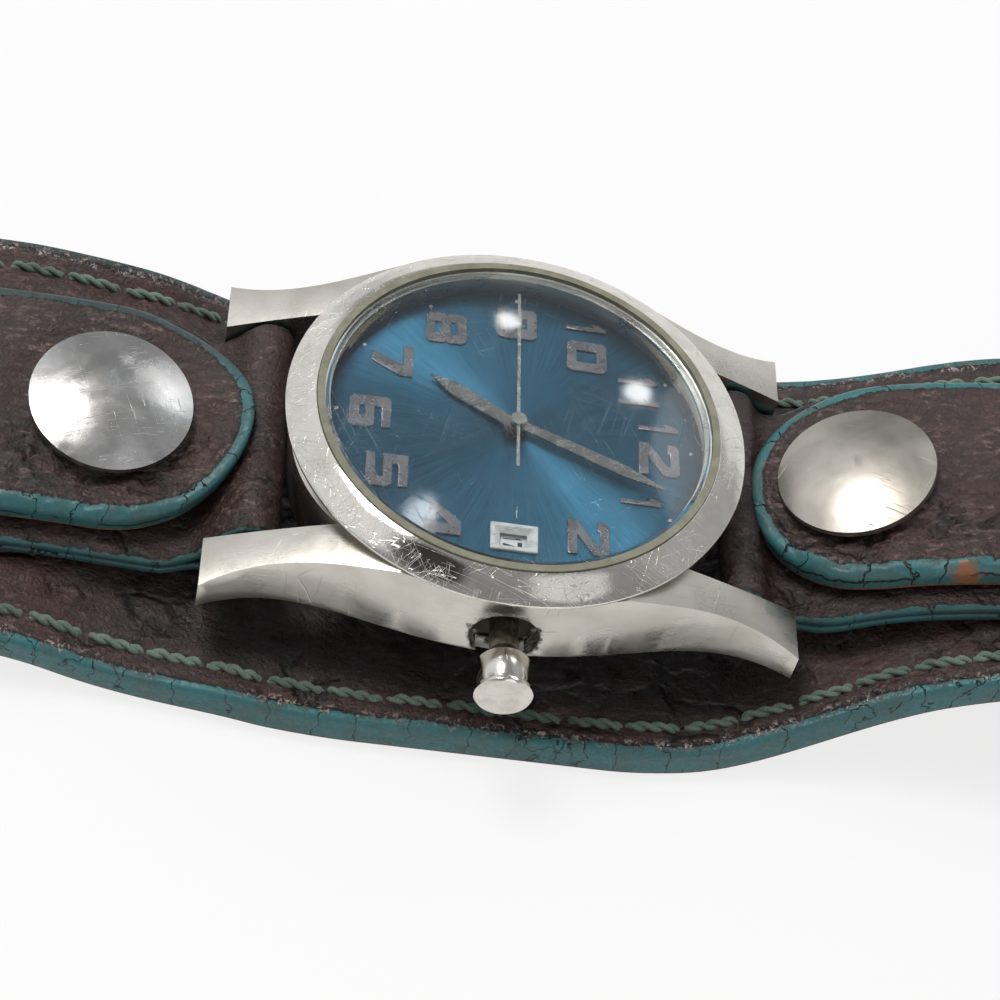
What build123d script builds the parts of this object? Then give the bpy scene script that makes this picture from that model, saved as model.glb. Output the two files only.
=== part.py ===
from build123d import *
import os
from math import atan, atan2, cos, degrees, hypot, pi, radians, sin, sqrt

os.makedirs("parts", exist_ok=True)

# Driving dimensions in millimetres
# +X points to 12 o'clock, -Y to the crown, +Z out through the dial, z = 0 on the table

# Leather thicknesses and seams
base_face_t = 1.6
base_lining_t = 1.18
glue_t = 0.02
loop_t = 1.8
tab_face_t = 1.3
tab_lining_t = 1.18
soft_gap = 0.3
sewn_gap = 0.1

# Watch head
case_lift = 4.0
back_flange_t = 1.78
case_h = 6.8
bezel_r = 18.0
bezel_slope_w = 2.28
bezel_rise = 1.22
bezel_band = 0.25
dial_depth = 1.74
side_inset = 0.7
lug_past_bezel = 4.8
lug_length = bezel_r + lug_past_bezel
lug_gap = 22.0
bar_past_bezel = 0.9
bar_drop = 6.0
stem_drop = 4.9
fit_gap = 0.02
run_gap = 0.05

# Cuff outline in plan
base_half_middle = 20.9
base_half_right = 16.8
base_half_left = 18.2
taper_from = 9.5
taper_to_right = 36.0
taper_to_left = 38.0
tab_half = 9.9
loop_half = 11.5

# Wings of the cuff: how far out each one starts to rise, levels off and comes down again
rise_right = 10.8
rise_left = 4.6
root_past_lug = 21.2
tab_root = lug_length + root_past_lug
rise_from_root = 28.0
crest_past_root_right = 2.0
crest_past_root_left = -4.0
fall_past_root_right = 6.0
fall_past_root_left = 2.0
flat_past_root_right = 36.0
flat_past_root_left = 28.0
end_past_root_right = 38.0
end_past_root_left = 30.0
twist_left = 8.2
twist_from_root = 26.0
twist_full_from_root = 12.0
untwist_past_root = 2.0
straight_past_root = 22.0

# Space between base and loop leather, and how far the tab's nose curls up
float_right = 2.3
float_left = 1.6
float_from_root_right = 16.0
float_from_root_left = 18.0
float_to_root_right = 2.0
float_to_root_left = 4.0
curl_right = 0.8
curl_left = 3.4
curl_length = 7.5
nose_past_bar_right = 2.3
nose_past_bar_left = 2.6
loop_past_root = 6.0

# Snap fasteners
snap_past_nose_right = 8.2
snap_past_nose_left = 9.9
cap_r = 6.25
cap_rim_t = 0.5
cap_dome = 1.1
cap_gap = 0.3

# Straps beyond the cuff
strap_half = 9.9
strap_t = 2.5
strap_lift_right = 1.3
strap_lift_left = 0.05
strap_drop = 6.0
strap_margin = 2.8
keeper_t = 1.0
buckle_past_root = 68.0
tail_past_root = 78.0

base_t = base_face_t + glue_t + base_lining_t
tab_t = tab_face_t + glue_t + tab_lining_t
back_z = base_t + case_lift
case_z = back_z + back_flange_t + fit_gap
bezel_z = case_z + case_h
dial_z = bezel_z - dial_depth
bar_x = bezel_r + bar_past_bezel
bar_z = bezel_z - bar_drop
stem_z = bezel_z - stem_drop
rise_from = tab_root - rise_from_root
crest_right = tab_root + crest_past_root_right
crest_left = tab_root + crest_past_root_left
fall_from_right = tab_root + fall_past_root_right
fall_from_left = tab_root + fall_past_root_left
fall_to_right = tab_root + flat_past_root_right
fall_to_left = tab_root + flat_past_root_left
base_end_right = tab_root + end_past_root_right
base_end_left = tab_root + end_past_root_left
twist_from = tab_root - twist_from_root
twist_full = tab_root - twist_full_from_root
untwist_from = tab_root + untwist_past_root
untwist_to = tab_root + straight_past_root
float_from_right = tab_root - float_from_root_right
float_from_left = tab_root - float_from_root_left
float_to_right = tab_root - float_to_root_right
float_to_left = tab_root - float_to_root_left
nose_right = bar_x + nose_past_bar_right
nose_left = bar_x + nose_past_bar_left
loop_end = tab_root + loop_past_root
snap_x_right = nose_right + snap_past_nose_right
snap_x_left = nose_left + snap_past_nose_left
buckle_x = tab_root + buckle_past_root
tail_x = tab_root + tail_past_root


def save(piece, label):
    piece.label = label
    export_step(piece, f"parts/{label}.step")


def ease(t):
    t = min(max(t, 0), 1)
    return t * t * (3 - 2 * t)


# Shape of the leather: a few heights along the cuff, worked out at any x
def on_side(x, right, left):
    return right if x > 0 else left


def wing_z(x):
    reach = abs(x)
    crest = on_side(x, crest_right, crest_left)
    fall_from = on_side(x, fall_from_right, fall_from_left)
    fall_to = on_side(x, fall_to_right, fall_to_left)
    up = ease((reach - rise_from) / (crest - rise_from))
    down = ease((reach - fall_from) / (fall_to - fall_from))
    return on_side(x, rise_right, rise_left) * (up - down)


def slope_at(height, x):
    step = glue_t
    return (height(x + step) - height(x - step)) / (2 * step)


def twist_at(x):
    if x > 0:
        return 0
    on = ease((-x - twist_from) / (twist_full - twist_from))
    off = ease((-x - untwist_from) / (untwist_to - untwist_from))
    return radians(twist_left) * (on - off)


def wing_top(x):
    return wing_z(x) + base_t * sqrt(1 + slope_at(wing_z, x) ** 2)


def loop_z(x):
    start = on_side(x, float_from_right, float_from_left)
    stop = on_side(x, float_to_right, float_to_left)
    gap = on_side(x, float_right, float_left) * (1 - ease((abs(x) - start) / (stop - start)))
    return wing_top(x) + sewn_gap + gap


def tab_lift(x):
    nose = on_side(x, nose_right, nose_left)
    left_over = max(1 - (abs(x) - nose) / curl_length, 0)
    return loop_t + soft_gap + on_side(x, curl_right, curl_left) * left_over**2


def strap_z(x):
    base_end = on_side(x, base_end_right, base_end_left)
    landing = ease((abs(x) - base_end - strap_margin) / strap_drop)
    over_loop = (loop_t + soft_gap - sewn_gap) * (1 - ease((abs(x) - loop_end) / strap_drop))
    lift = on_side(x, strap_lift_right, strap_lift_left)
    return (wing_top(x) + sewn_gap + over_loop) * (1 - landing) + lift * landing


def station(height, x, offset=0):
    tilt = atan(slope_at(height, x))
    twist = twist_at(x)
    along = Vector(cos(tilt), 0, sin(tilt))
    across = Vector(-sin(tilt) * sin(twist), cos(twist), cos(tilt) * sin(twist))
    up = along.cross(across)
    return Plane(origin=Vector(x, 0, height(x)) + up * offset, x_dir=across, z_dir=along)


def spaced(start, stop, count):
    return [start + (stop - start) * i / count for i in range(count + 1)]


def base_half(x):
    waist = on_side(x, base_half_right, base_half_left)
    taper_to = on_side(x, taper_to_right, taper_to_left)
    return base_half_middle + (waist - base_half_middle) * ease((abs(x) - taper_from) / (taper_to - taper_from))


def ribbon(xs, height, half, offset, thickness):
    with BuildPart() as strip:
        for x in xs:
            with BuildSketch(station(height, x, offset(x))):
                Rectangle(2 * half(x), thickness, align=(Align.CENTER, Align.MIN))
        loft(ruled=True)
    return strip.part


# Planes and plain turned pieces that many sub-parts share
def toward_nine(x, y, z):
    return Plane((x, y, z), x_dir=(1, 0, 0), z_dir=(0, 1, 0))


def toward_crown(y):
    return Plane((0, -y, stem_z), x_dir=(1, 0, 0), z_dir=(0, -1, 0))


def level(x, offset):
    plane = station(loop_z, x, offset)
    return Plane(origin=plane.origin, x_dir=plane.z_dir, z_dir=plane.y_dir)


def ring(z, height, outer, inner=0, at=(0, 0)):
    with BuildPart() as turned:
        with BuildSketch(Plane.XY.offset(z)):
            with Locations(at):
                Circle(outer)
                if inner:
                    Circle(inner, mode=Mode.SUBTRACT)
        extrude(amount=height)
    return turned.part


# Cuff base: face leather over lining, one outline
base_corner_r = 8.0
base_xs = spaced(-base_end_left, base_end_right, 36)


def base_layer(label, offset, thickness):
    with BuildPart() as layer:
        add(ribbon(base_xs, wing_z, base_half, lambda x: offset, thickness))
        with BuildSketch():
            with Locations(((base_end_right - base_end_left) / 2, 0)):
                Rectangle(base_end_right + base_end_left - 2 * base_corner_r, 4 * base_half_middle)
            with Locations((base_end_right - 2 * base_corner_r, 0)):
                RectangleRounded(4 * base_corner_r, 2 * base_half_right, base_corner_r)
            with Locations((2 * base_corner_r - base_end_left, 0)):
                RectangleRounded(4 * base_corner_r, 2 * base_half_left, base_corner_r)
        extrude(amount=bezel_r, both=True, mode=Mode.INTERSECT)
    save(layer.part, label)


base_layer("cuff_lining", 0, base_lining_t)
base_layer("cuff_face", base_lining_t + glue_t, base_face_t)

# Spring bars and the lug holes that hold them
bar_r = 0.75
bar_tip_r = 0.5
bar_tip_reach = 1.0
bar_gap = 0.1
lug_hole_r = bar_tip_r + run_gap
lug_hole_depth = 1.2
bar_half = lug_gap / 2 - soft_gap


def spring_bar(side, label):
    tip_half = lug_gap / 2 + bar_tip_reach
    with BuildPart() as bar:
        with BuildSketch(toward_nine(side * bar_x, -bar_half, bar_z)):
            Circle(bar_r)
        extrude(amount=2 * bar_half)
        with BuildSketch(toward_nine(side * bar_x, -tip_half, bar_z)):
            Circle(bar_tip_r)
        extrude(amount=2 * tip_half)
    save(bar.part, label)


spring_bar(1, "spring_bar_right")
spring_bar(-1, "spring_bar_left")

# Snap fasteners: sizes shared by the leathers that they pass through
post_r = 1.2
post_hole_r = post_r + soft_gap
socket_r = 4.7
socket_t = 1.1
socket_bore_r = 2.05
socket_recess_r = socket_r + bar_gap
ball_r = 1.8
ball_t = 0.5
neck_r = 1.5
stud_flange_r = 4.2
stud_flange_t = 0.45
eyelet_flange_r = 4.0
eyelet_t = 0.4
eyelet_r = 1.1

# Loop leathers: folded round the spring bar, then one flat stack out under the tab
roll_r = bar_r + bar_gap + (loop_t - bar_gap) / 2
fold_half = lug_gap / 2 - soft_gap
flare_from = lug_length + soft_gap
flare_length = 3.0
leg_bend = 2.6


def loop_width(x):
    return fold_half + (loop_half - fold_half) * ease((abs(x) - flare_from) / flare_length)


def strap_loop(side, snap_x, label):
    xs = sorted(side * x for x in spaced(bar_x + leg_bend, loop_end, 12))
    start = station(loop_z, side * (bar_x + leg_bend))
    low, high = start.from_local_coords((0, 0)), start.from_local_coords((0, loop_t))
    with BuildPart() as loop:
        add(ribbon(xs, loop_z, loop_width, lambda x: 0, loop_t))
        with BuildSketch(Plane.XZ):
            with BuildLine():
                Line((low.X, low.Z), (high.X, high.Z))
                CenterArc((side * bar_x, bar_z), roll_r, 0, 360)
            make_hull()
        extrude(amount=fold_half, both=True)
        with BuildSketch(toward_nine(side * bar_x, -lug_gap, bar_z)):
            Circle(bar_r + bar_gap)
        extrude(amount=2 * lug_gap, mode=Mode.SUBTRACT)
        with BuildSketch(level(side * snap_x, loop_t - stud_flange_t - bar_gap)):
            Circle(stud_flange_r + bar_gap)
        extrude(amount=loop_t, mode=Mode.SUBTRACT)
        with BuildSketch(level(side * snap_x, -loop_t)):
            Circle(neck_r + bar_gap)
        extrude(amount=2 * loop_t, mode=Mode.SUBTRACT)
        with BuildSketch(level(side * snap_x, -loop_t)):
            Circle(eyelet_flange_r + bar_gap)
        extrude(amount=loop_t, mode=Mode.SUBTRACT)
    save(loop.part, label)


strap_loop(1, snap_x_right, "strap_loop_right")
strap_loop(-1, snap_x_left, "strap_loop_left")


# Tabs: the flap that snaps down over each loop leather, free from its nose to its root
def tab_layer(side, nose, snap_x, label, offset, thickness):
    xs = sorted(side * x for x in spaced(nose - 2 * glue_t, tab_root, 10))
    underside = tab_lift(side * snap_x)
    with BuildPart() as layer:
        add(ribbon(xs, loop_z, lambda x: tab_half, lambda x: tab_lift(x) + offset, thickness))
        with BuildSketch():
            with Locations((side * (nose + tab_root), 0)):
                SlotOverall(2 * tab_root, 2 * tab_half)
        extrude(amount=bezel_z + bezel_r, mode=Mode.INTERSECT)
        with BuildSketch(level(side * snap_x, underside - soft_gap)):
            Circle(socket_recess_r)
        extrude(amount=soft_gap + socket_t + fit_gap, mode=Mode.SUBTRACT)
        with BuildSketch(level(side * snap_x, underside)):
            Circle(post_hole_r)
        extrude(amount=bezel_r, mode=Mode.SUBTRACT)
    save(layer.part, label)


for side, nose, snap_x, name in ((1, nose_right, snap_x_right, "right"), (-1, nose_left, snap_x_left, "left")):
    tab_layer(side, nose, snap_x, f"tab_lining_{name}", 0, tab_lining_t)
    tab_layer(side, nose, snap_x, f"tab_face_{name}", tab_lining_t + glue_t, tab_face_t)


# Snap fasteners, from the cap down to the eyelet under the loop leather
def snap(x, name):
    upright = station(loop_z, x)
    axis = Axis(upright.origin, upright.y_dir)
    socket_z = tab_lift(x)
    post_z = socket_z + socket_t
    cap_z = socket_z + tab_t + cap_gap
    rim_z = cap_z + cap_rim_t
    with BuildPart() as cap:
        with BuildSketch(upright):
            with BuildLine():
                Polyline((0, post_z), (post_r, post_z), (post_r, cap_z), (cap_r, cap_z), (cap_r, rim_z))
                dome = RadiusArc((0, rim_z + cap_dome), (cap_r, rim_z), (cap_r**2 + cap_dome**2) / (2 * cap_dome))
                Line(dome @ 0, (0, post_z))
            make_face()
        revolve(axis=axis)
    save(cap.part, f"snap_cap_{name}")

    with BuildPart() as socket:
        with BuildSketch(level(x, socket_z)):
            Circle(socket_r)
            Circle(socket_bore_r, mode=Mode.SUBTRACT)
        extrude(amount=socket_t - fit_gap)
    save(socket.part, f"snap_socket_{name}")

    flange_z = loop_t - stud_flange_t - bar_gap / 2
    ball_z = socket_z + socket_t - bar_gap - ball_t
    with BuildPart() as stud:
        with BuildSketch(level(x, flange_z)):
            Circle(stud_flange_r)
        extrude(amount=stud_flange_t)
        with BuildSketch(level(x, 0)):
            Circle(neck_r)
        extrude(amount=ball_z)
        with BuildSketch(level(x, ball_z)):
            Circle(ball_r)
        extrude(amount=ball_t)
        with BuildSketch(level(x, -loop_t)):
            Circle(eyelet_r)
        extrude(amount=loop_t + ball_z, mode=Mode.SUBTRACT)
    save(stud.part, f"snap_stud_{name}")

    with BuildPart() as eyelet:
        with BuildSketch(level(x, -eyelet_t - bar_gap / 2)):
            Circle(eyelet_flange_r)
        extrude(amount=eyelet_t)
        with BuildSketch(level(x, -eyelet_t)):
            Circle(eyelet_r - fit_gap)
        extrude(amount=loop_t)
    save(eyelet.part, f"snap_eyelet_{name}")


snap(snap_x_right, "right")
snap(-snap_x_left, "left")

# Buckle-side strap: sewn to the cuff at the tab's root, folded round the buckle bar
buckle_z = strap_lift_right + strap_t / 2
buckle_bar_r = 0.9
buckle_roll_r = 2.25
buckle_slot_half = 1.6
buckle_slot_length = 3.0
neck_length = 5.0

with BuildPart() as buckle_strap:
    root_xs = spaced(tab_root + soft_gap, buckle_x - neck_length, 20)
    add(ribbon(root_xs, strap_z, lambda x: strap_half, lambda x: 0, strap_t))
    with BuildSketch(Plane.XZ):
        with BuildLine():
            Line(
                (buckle_x - neck_length, strap_lift_right),
                (buckle_x - neck_length, strap_lift_right + strap_t),
            )
            CenterArc((buckle_x, buckle_z), buckle_roll_r, 0, 360)
        make_hull()
    extrude(amount=strap_half, both=True)
    with BuildSketch(toward_nine(buckle_x, -base_half_middle, buckle_z)):
        Circle(buckle_bar_r + bar_gap)
    extrude(amount=2 * base_half_middle, mode=Mode.SUBTRACT)
    with BuildSketch():
        with Locations((buckle_x, 0)):
            SlotOverall(2 * (buckle_slot_length + buckle_roll_r), 2 * buckle_slot_half)
    extrude(amount=bezel_z, mode=Mode.SUBTRACT)
save(buckle_strap.part, "buckle_strap")

# Hole-side strap with its pointed tip
tip_length = 14.0
tip_shoulder = 5.0
tip_shoulder_half = 6.2
hole_r = 0.9
hole_from_tail = 35.5
hole_pitch = 5.5
hole_count = 6

with BuildPart() as hole_strap:
    tail_xs = spaced(-tail_x, -tab_root - soft_gap, 26)
    add(ribbon(tail_xs, strap_z, lambda x: strap_half, lambda x: 0, strap_t))
    with BuildSketch():
        with BuildLine():
            near_y = Line((0, -2 * strap_half), (tip_length - tail_x, -2 * strap_half))
            near_in = Line(near_y @ 1, (tip_length - tail_x, -strap_half))
            near_arc = ThreePointArc(near_in @ 1, (tip_shoulder - tail_x, -tip_shoulder_half), (-tail_x, 0))
            far_arc = ThreePointArc(
                near_arc @ 1, (tip_shoulder - tail_x, tip_shoulder_half), (tip_length - tail_x, strap_half)
            )
            far_in = Line(far_arc @ 1, (tip_length - tail_x, 2 * strap_half))
            far_y = Line(far_in @ 1, (0, 2 * strap_half))
            Line(far_y @ 1, near_y @ 0)
        make_face()
    extrude(amount=bezel_r, both=True, mode=Mode.INTERSECT)
    with BuildSketch():
        with Locations(*[(hole_from_tail - tail_x - i * hole_pitch, 0) for i in range(hole_count)]):
            Circle(hole_r)
    extrude(amount=bezel_r, both=True, mode=Mode.SUBTRACT)
save(hole_strap.part, "hole_strap")

# Keepers: one sewn in place by the buckle, one free to slide along the strap
keeper_length = 5.0
keeper_room = 2.9
keeper_r = 1.2
keeper_from_buckle = 11.0
fixed_keeper_x = buckle_x - keeper_from_buckle
free_keeper_x = fixed_keeper_x - keeper_length - soft_gap


def keeper(x, label):
    inner_half = strap_half + soft_gap
    inner_low = strap_lift_right - soft_gap
    inner_high = strap_lift_right + strap_t + keeper_room
    mid_z = (inner_low + inner_high) / 2
    height = inner_high - inner_low
    with BuildPart() as loop:
        with BuildSketch(Plane((x, 0, mid_z), x_dir=(0, 1, 0), z_dir=(1, 0, 0))):
            RectangleRounded(2 * (inner_half + keeper_t), height + 2 * keeper_t, keeper_r)
            Rectangle(2 * inner_half, height, mode=Mode.SUBTRACT)
        extrude(amount=keeper_length)
    save(loop.part, label)


keeper(fixed_keeper_x, "fixed_keeper")
keeper(free_keeper_x, "free_keeper")

# Buckle: frame, bar and prong
frame_back = 1.6
frame_reach = 14.4
frame_bar = 3.0
frame_arm = 2.4
frame_inner_half = 10.6
frame_half_t = 1.1
frame_corner_r = 3.0
frame_edge_r = 0.5
frame_inner_r = 1.5
prong_half = 0.8
prong_ring_r = 1.75
prong_t = 1.3

with BuildPart() as buckle_frame:
    with BuildSketch(Plane.XY.offset(buckle_z - frame_half_t)):
        with Locations((buckle_x + (frame_reach - frame_back) / 2, 0)):
            RectangleRounded(frame_reach + frame_back, 2 * (frame_inner_half + frame_arm), frame_corner_r)
        with Locations((buckle_x + frame_reach - frame_bar - frame_reach, 0)):
            RectangleRounded(2 * frame_reach, 2 * frame_inner_half, frame_inner_r, mode=Mode.SUBTRACT)
    extrude(amount=2 * frame_half_t)
    fillet(buckle_frame.faces().filter_by(Axis.Z).edges(), frame_edge_r)
    with BuildSketch(toward_nine(buckle_x, -base_half_middle, buckle_z)):
        Circle(buckle_bar_r + fit_gap)
    extrude(amount=2 * base_half_middle, mode=Mode.SUBTRACT)
save(buckle_frame.part, "buckle_frame")

with BuildPart() as buckle_bar:
    with BuildSketch(toward_nine(buckle_x, -frame_inner_half - frame_arm, buckle_z)):
        Circle(buckle_bar_r)
    extrude(amount=2 * (frame_inner_half + frame_arm))
save(buckle_bar.part, "buckle_bar")

with BuildPart() as prong:
    rest_z = buckle_z + frame_half_t + fit_gap
    bar_front = buckle_x + frame_reach - frame_bar
    with BuildSketch(Plane.XZ):
        with BuildLine():
            Polyline(
                (buckle_x, buckle_z + prong_ring_r),
                (bar_front, rest_z + prong_t),
                (bar_front + frame_bar, rest_z + prong_t / 2),
                (bar_front + frame_bar, rest_z),
                (bar_front - prong_t, rest_z),
                (buckle_x + prong_ring_r, buckle_z),
                (buckle_x, buckle_z),
                close=True,
            )
        make_face()
        with Locations((buckle_x, buckle_z)):
            Circle(prong_ring_r)
            Circle(buckle_bar_r + run_gap, mode=Mode.SUBTRACT)
    extrude(amount=prong_half, both=True)
save(prong.part, "prong")

# Case body: round barrel with four horned lugs sweeping down from the bezel
waist_from_bezel = 1.6
waist_x = bezel_r - waist_from_bezel
waist_inset = 3.65
shoulder_x = 8.0
shoulder_inset = 1.8
horn_tip_inset = 2.5
barrel_inset = 0.8
neck_inset = 1.6
bore_inset = 3.15
flange_inset = 2.1
recess_inset = 2.4
rehaut_w = 0.25
neck_rise = 0.1
horn_tip_drop = 5.4
horn_tip_base_drop = 7.9
horn_mid_from_bezel = 1.5
horn_mid_x = bezel_r - horn_mid_from_bezel
horn_mid_drop = 2.9
horn_root_x = 8.5
seat_z = bezel_z - bezel_band - fit_gap
neck_z = bezel_z + neck_rise
crown_recess_r = 2.65
tube_r = 1.1
stem_r = 0.5
side_half = bezel_r - side_inset
waist_half = bezel_r - waist_inset
shoulder_half = bezel_r - shoulder_inset
horn_tip_half = bezel_r - horn_tip_inset
barrel_r = bezel_r - barrel_inset
case_neck_r = bezel_r - neck_inset
case_bore_r = bezel_r - bore_inset
rehaut_r = case_bore_r - rehaut_w
back_flange_r = bezel_r - flange_inset
crown_recess_y = bezel_r - recess_inset
bezel_inner_r = bezel_r - bezel_slope_w

with BuildPart() as case_body:
    with BuildSketch(Plane.XY.offset(back_z)):
        with BuildLine():
            far = Spline(
                (-lug_length, horn_tip_half),
                (-waist_x, waist_half),
                (-shoulder_x, shoulder_half),
                (0, side_half),
                (shoulder_x, shoulder_half),
                (waist_x, waist_half),
                (lug_length, horn_tip_half),
            )
            Line(far @ 1, (lug_length, -horn_tip_half))
            mirror(far, Plane.XZ)
            Line(far @ 0, (-lug_length, -horn_tip_half))
        make_face()
        with Locations((lug_length, 0), (-lug_length, 0)):
            Rectangle(2 * lug_length - bezel_inner_r, lug_gap, mode=Mode.SUBTRACT)
        Circle(barrel_r)
    extrude(amount=case_h + back_flange_t)
    with BuildSketch(Plane.XZ):
        with BuildLine():
            top_right = ThreePointArc(
                (lug_length + fit_gap, bezel_z - horn_tip_drop),
                (horn_mid_x, bezel_z - horn_mid_drop),
                (horn_root_x, seat_z),
            )
            mirror(top_right, Plane.YZ)
            Line((horn_root_x, seat_z), (-horn_root_x, seat_z))
            foot = ThreePointArc(
                (-lug_length - fit_gap, bezel_z - horn_tip_base_drop),
                (0, case_z),
                (lug_length + fit_gap, bezel_z - horn_tip_base_drop),
            )
            Line(foot @ 1, top_right @ 0)
            Line(foot @ 0, (-lug_length - fit_gap, bezel_z - horn_tip_drop))
        make_face()
    extrude(amount=bezel_r, both=True, mode=Mode.INTERSECT)
    add(ring(seat_z, neck_z - seat_z, case_neck_r))
    add(ring(back_z, dial_z - back_z, case_bore_r), mode=Mode.SUBTRACT)
    add(ring(back_z, case_z - back_z, back_flange_r + fit_gap), mode=Mode.SUBTRACT)
    add(ring(back_z, 2 * case_h, rehaut_r), mode=Mode.SUBTRACT)
    with BuildSketch(toward_crown(crown_recess_y)):
        Circle(crown_recess_r)
    extrude(amount=case_h, mode=Mode.SUBTRACT)
    with BuildSketch(toward_crown(0)):
        Circle(tube_r + fit_gap)
    extrude(amount=bezel_r, mode=Mode.SUBTRACT)
    for bar_side in (-1, 1):
        with BuildSketch(toward_nine(bar_side * bar_x, -lug_gap / 2 - lug_hole_depth, bar_z)):
            Circle(lug_hole_r)
        extrude(amount=lug_gap + 2 * lug_hole_depth, mode=Mode.SUBTRACT)
save(case_body.part, "case_body")

# Bezel: a polished cone pressed over the case neck
with BuildPart() as bezel:
    with BuildSketch(Plane.XZ):
        with BuildLine():
            Polyline(
                (case_neck_r + fit_gap, bezel_z - bezel_band),
                (bezel_r, bezel_z - bezel_band),
                (bezel_r, bezel_z),
                (bezel_inner_r, bezel_z + bezel_rise),
                (bezel_inner_r, neck_z + fit_gap),
                (case_neck_r + fit_gap, neck_z + fit_gap),
                close=True,
            )
        make_face()
    revolve()
save(bezel.part, "bezel")

# Crystal and its gasket
crystal_inset = 0.62
crystal_r = bezel_inner_r - crystal_inset
crystal_edge_t = 1.15
crystal_dome = 0.4
crystal_bevel = 0.3
crystal_z = neck_z + fit_gap

with BuildPart() as crystal:
    with BuildSketch(Plane.XZ):
        with BuildLine():
            Polyline(
                (0, crystal_z + crystal_edge_t + crystal_dome),
                (0, crystal_z),
                (crystal_r, crystal_z),
                (crystal_r, crystal_z + crystal_edge_t - crystal_bevel),
                (crystal_r - crystal_bevel, crystal_z + crystal_edge_t),
            )
            RadiusArc(
                (crystal_r - crystal_bevel, crystal_z + crystal_edge_t),
                (0, crystal_z + crystal_edge_t + crystal_dome),
                -((crystal_r - crystal_bevel) ** 2 + crystal_dome**2) / (2 * crystal_dome),
            )
        make_face()
    revolve()
save(crystal.part, "crystal")

crystal_gasket_t = 1.25
save(ring(crystal_z, crystal_gasket_t, bezel_inner_r - fit_gap, crystal_r + fit_gap), "crystal_gasket")

# Case back: a snapped-on cover with a plug that enters the case bore
back_floor_t = 0.75
plug_h = 0.7
plug_wall = 1.0
groove_depth = 0.5
groove_h = 0.3
plug_r = case_bore_r - run_gap
groove_z = case_z + (plug_h - groove_h) / 2

with BuildPart() as case_back:
    add(ring(back_z, back_flange_t, back_flange_r))
    back_rim = case_back.faces().sort_by(Axis.Z)[0].edges()
    chamfer(back_rim, back_floor_t / 2)
    add(ring(back_z + back_flange_t, plug_h + fit_gap, plug_r))
    add(ring(groove_z, groove_h, bezel_r, plug_r - groove_depth), mode=Mode.SUBTRACT)
    add(ring(back_z + back_floor_t, case_h, plug_r - plug_wall), mode=Mode.SUBTRACT)
save(case_back.part, "case_back")
save(
    ring(groove_z + fit_gap, groove_h - 2 * fit_gap, case_bore_r - fit_gap / 2, plug_r - groove_depth + fit_gap),
    "back_gasket",
)

# Dial, its date window and the frame round the window
dial_t = 0.4
dial_r = case_bore_r - run_gap
dial_hole_r = 0.9
window_inset = 4.2
window_y = dial_r - window_inset
window_w = 2.9
window_h = 1.8
frame_w = 3.6
frame_h = 2.5
frame_t = 0.2
foot_r = 0.35
foot_inset = 1.1
foot_ring_r = dial_r - foot_inset
foot_length = 0.9

with BuildPart() as dial:
    with BuildSketch(Plane.XY.offset(dial_z - dial_t)):
        Circle(dial_r)
        Circle(dial_hole_r, mode=Mode.SUBTRACT)
        with Locations((0, -window_y)):
            Rectangle(window_w, window_h, mode=Mode.SUBTRACT)
    extrude(amount=dial_t)
    with BuildSketch(Plane.XY.offset(dial_z - dial_t - foot_length)):
        with Locations((foot_ring_r, 0), (-foot_ring_r, 0)):
            Circle(foot_r)
    extrude(amount=foot_length)
save(dial.part, "dial")

with BuildPart() as date_frame:
    with BuildSketch(Plane.XY.offset(dial_z + fit_gap / 2)):
        with Locations((0, -window_y)):
            Rectangle(frame_w, frame_h)
            Rectangle(window_w, window_h, mode=Mode.SUBTRACT)
    extrude(amount=frame_t)
save(date_frame.part, "date_frame")

# Movement: levels of the plates and wheels, counted down from the dial
holder_w = 2.25
plate_r = case_bore_r - holder_w
plate_drawn_r = 12.6
plan_share = plate_r / plate_drawn_r
disc_gap = 0.13
disc_t = 0.15
disc_inset = 0.3
disc_w = 3.35
disc_tooth_h = 0.4
disc_teeth = 31
disc_top = dial_z - dial_t - disc_gap
disc_outer_r = plate_r - disc_inset
disc_tooth_r = disc_outer_r - disc_w * plan_share
disc_root_r = disc_tooth_r + disc_tooth_h
motion_room = 0.53
motion_z = disc_top - disc_t - motion_room
plate_t = 0.8
plate_top = motion_z - run_gap
plate_z = plate_top - plate_t
bridge_t = 0.35
train_room = 2.65
bridge_z = plate_z - train_room
wheel_t = 0.15
arbor_r = 0.12
pivot_gap = 0.04
second_arbor_r = 0.15
cannon_r = 0.45
cannon_bore_r = 0.2
hour_pipe_r = 0.75
hour_bore_r = 0.5

# Gear train: teeth, modules and the centre distances that follow from them
second_teeth, second_leaves = 60, 8
third_teeth, third_leaves = 64, 8
centre_teeth = 60
inter_teeth, inter_leaves = 30, 10
rotor_leaves = 6
cannon_leaves = 12
minute_teeth, minute_leaves = 36, 10
hour_teeth = 40
driver_teeth = 80
train_module = 0.1
third_module = train_module * plan_share
second_module = third_module
inter_module = 1.2 * third_module
minute_module = 1.1 * third_module
third_distance = third_module * (second_leaves + third_teeth) / 2
centre_module = 2 * third_distance / (third_leaves + centre_teeth)
inter_distance = second_module * (inter_leaves + second_teeth) / 2
rotor_distance = inter_module * (rotor_leaves + inter_teeth) / 2
minute_distance = minute_module * (cannon_leaves + minute_teeth) / 2
hour_module = 2 * minute_distance / (minute_leaves + hour_teeth)
driver_distance = hour_module * (hour_teeth + driver_teeth) / 2
third_way, inter_way, rotor_way, minute_way, driver_way = 180, -30, -70, 90, 210


def from_point(start, distance, way):
    return (start[0] + distance * cos(radians(way)), start[1] + distance * sin(radians(way)))


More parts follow.
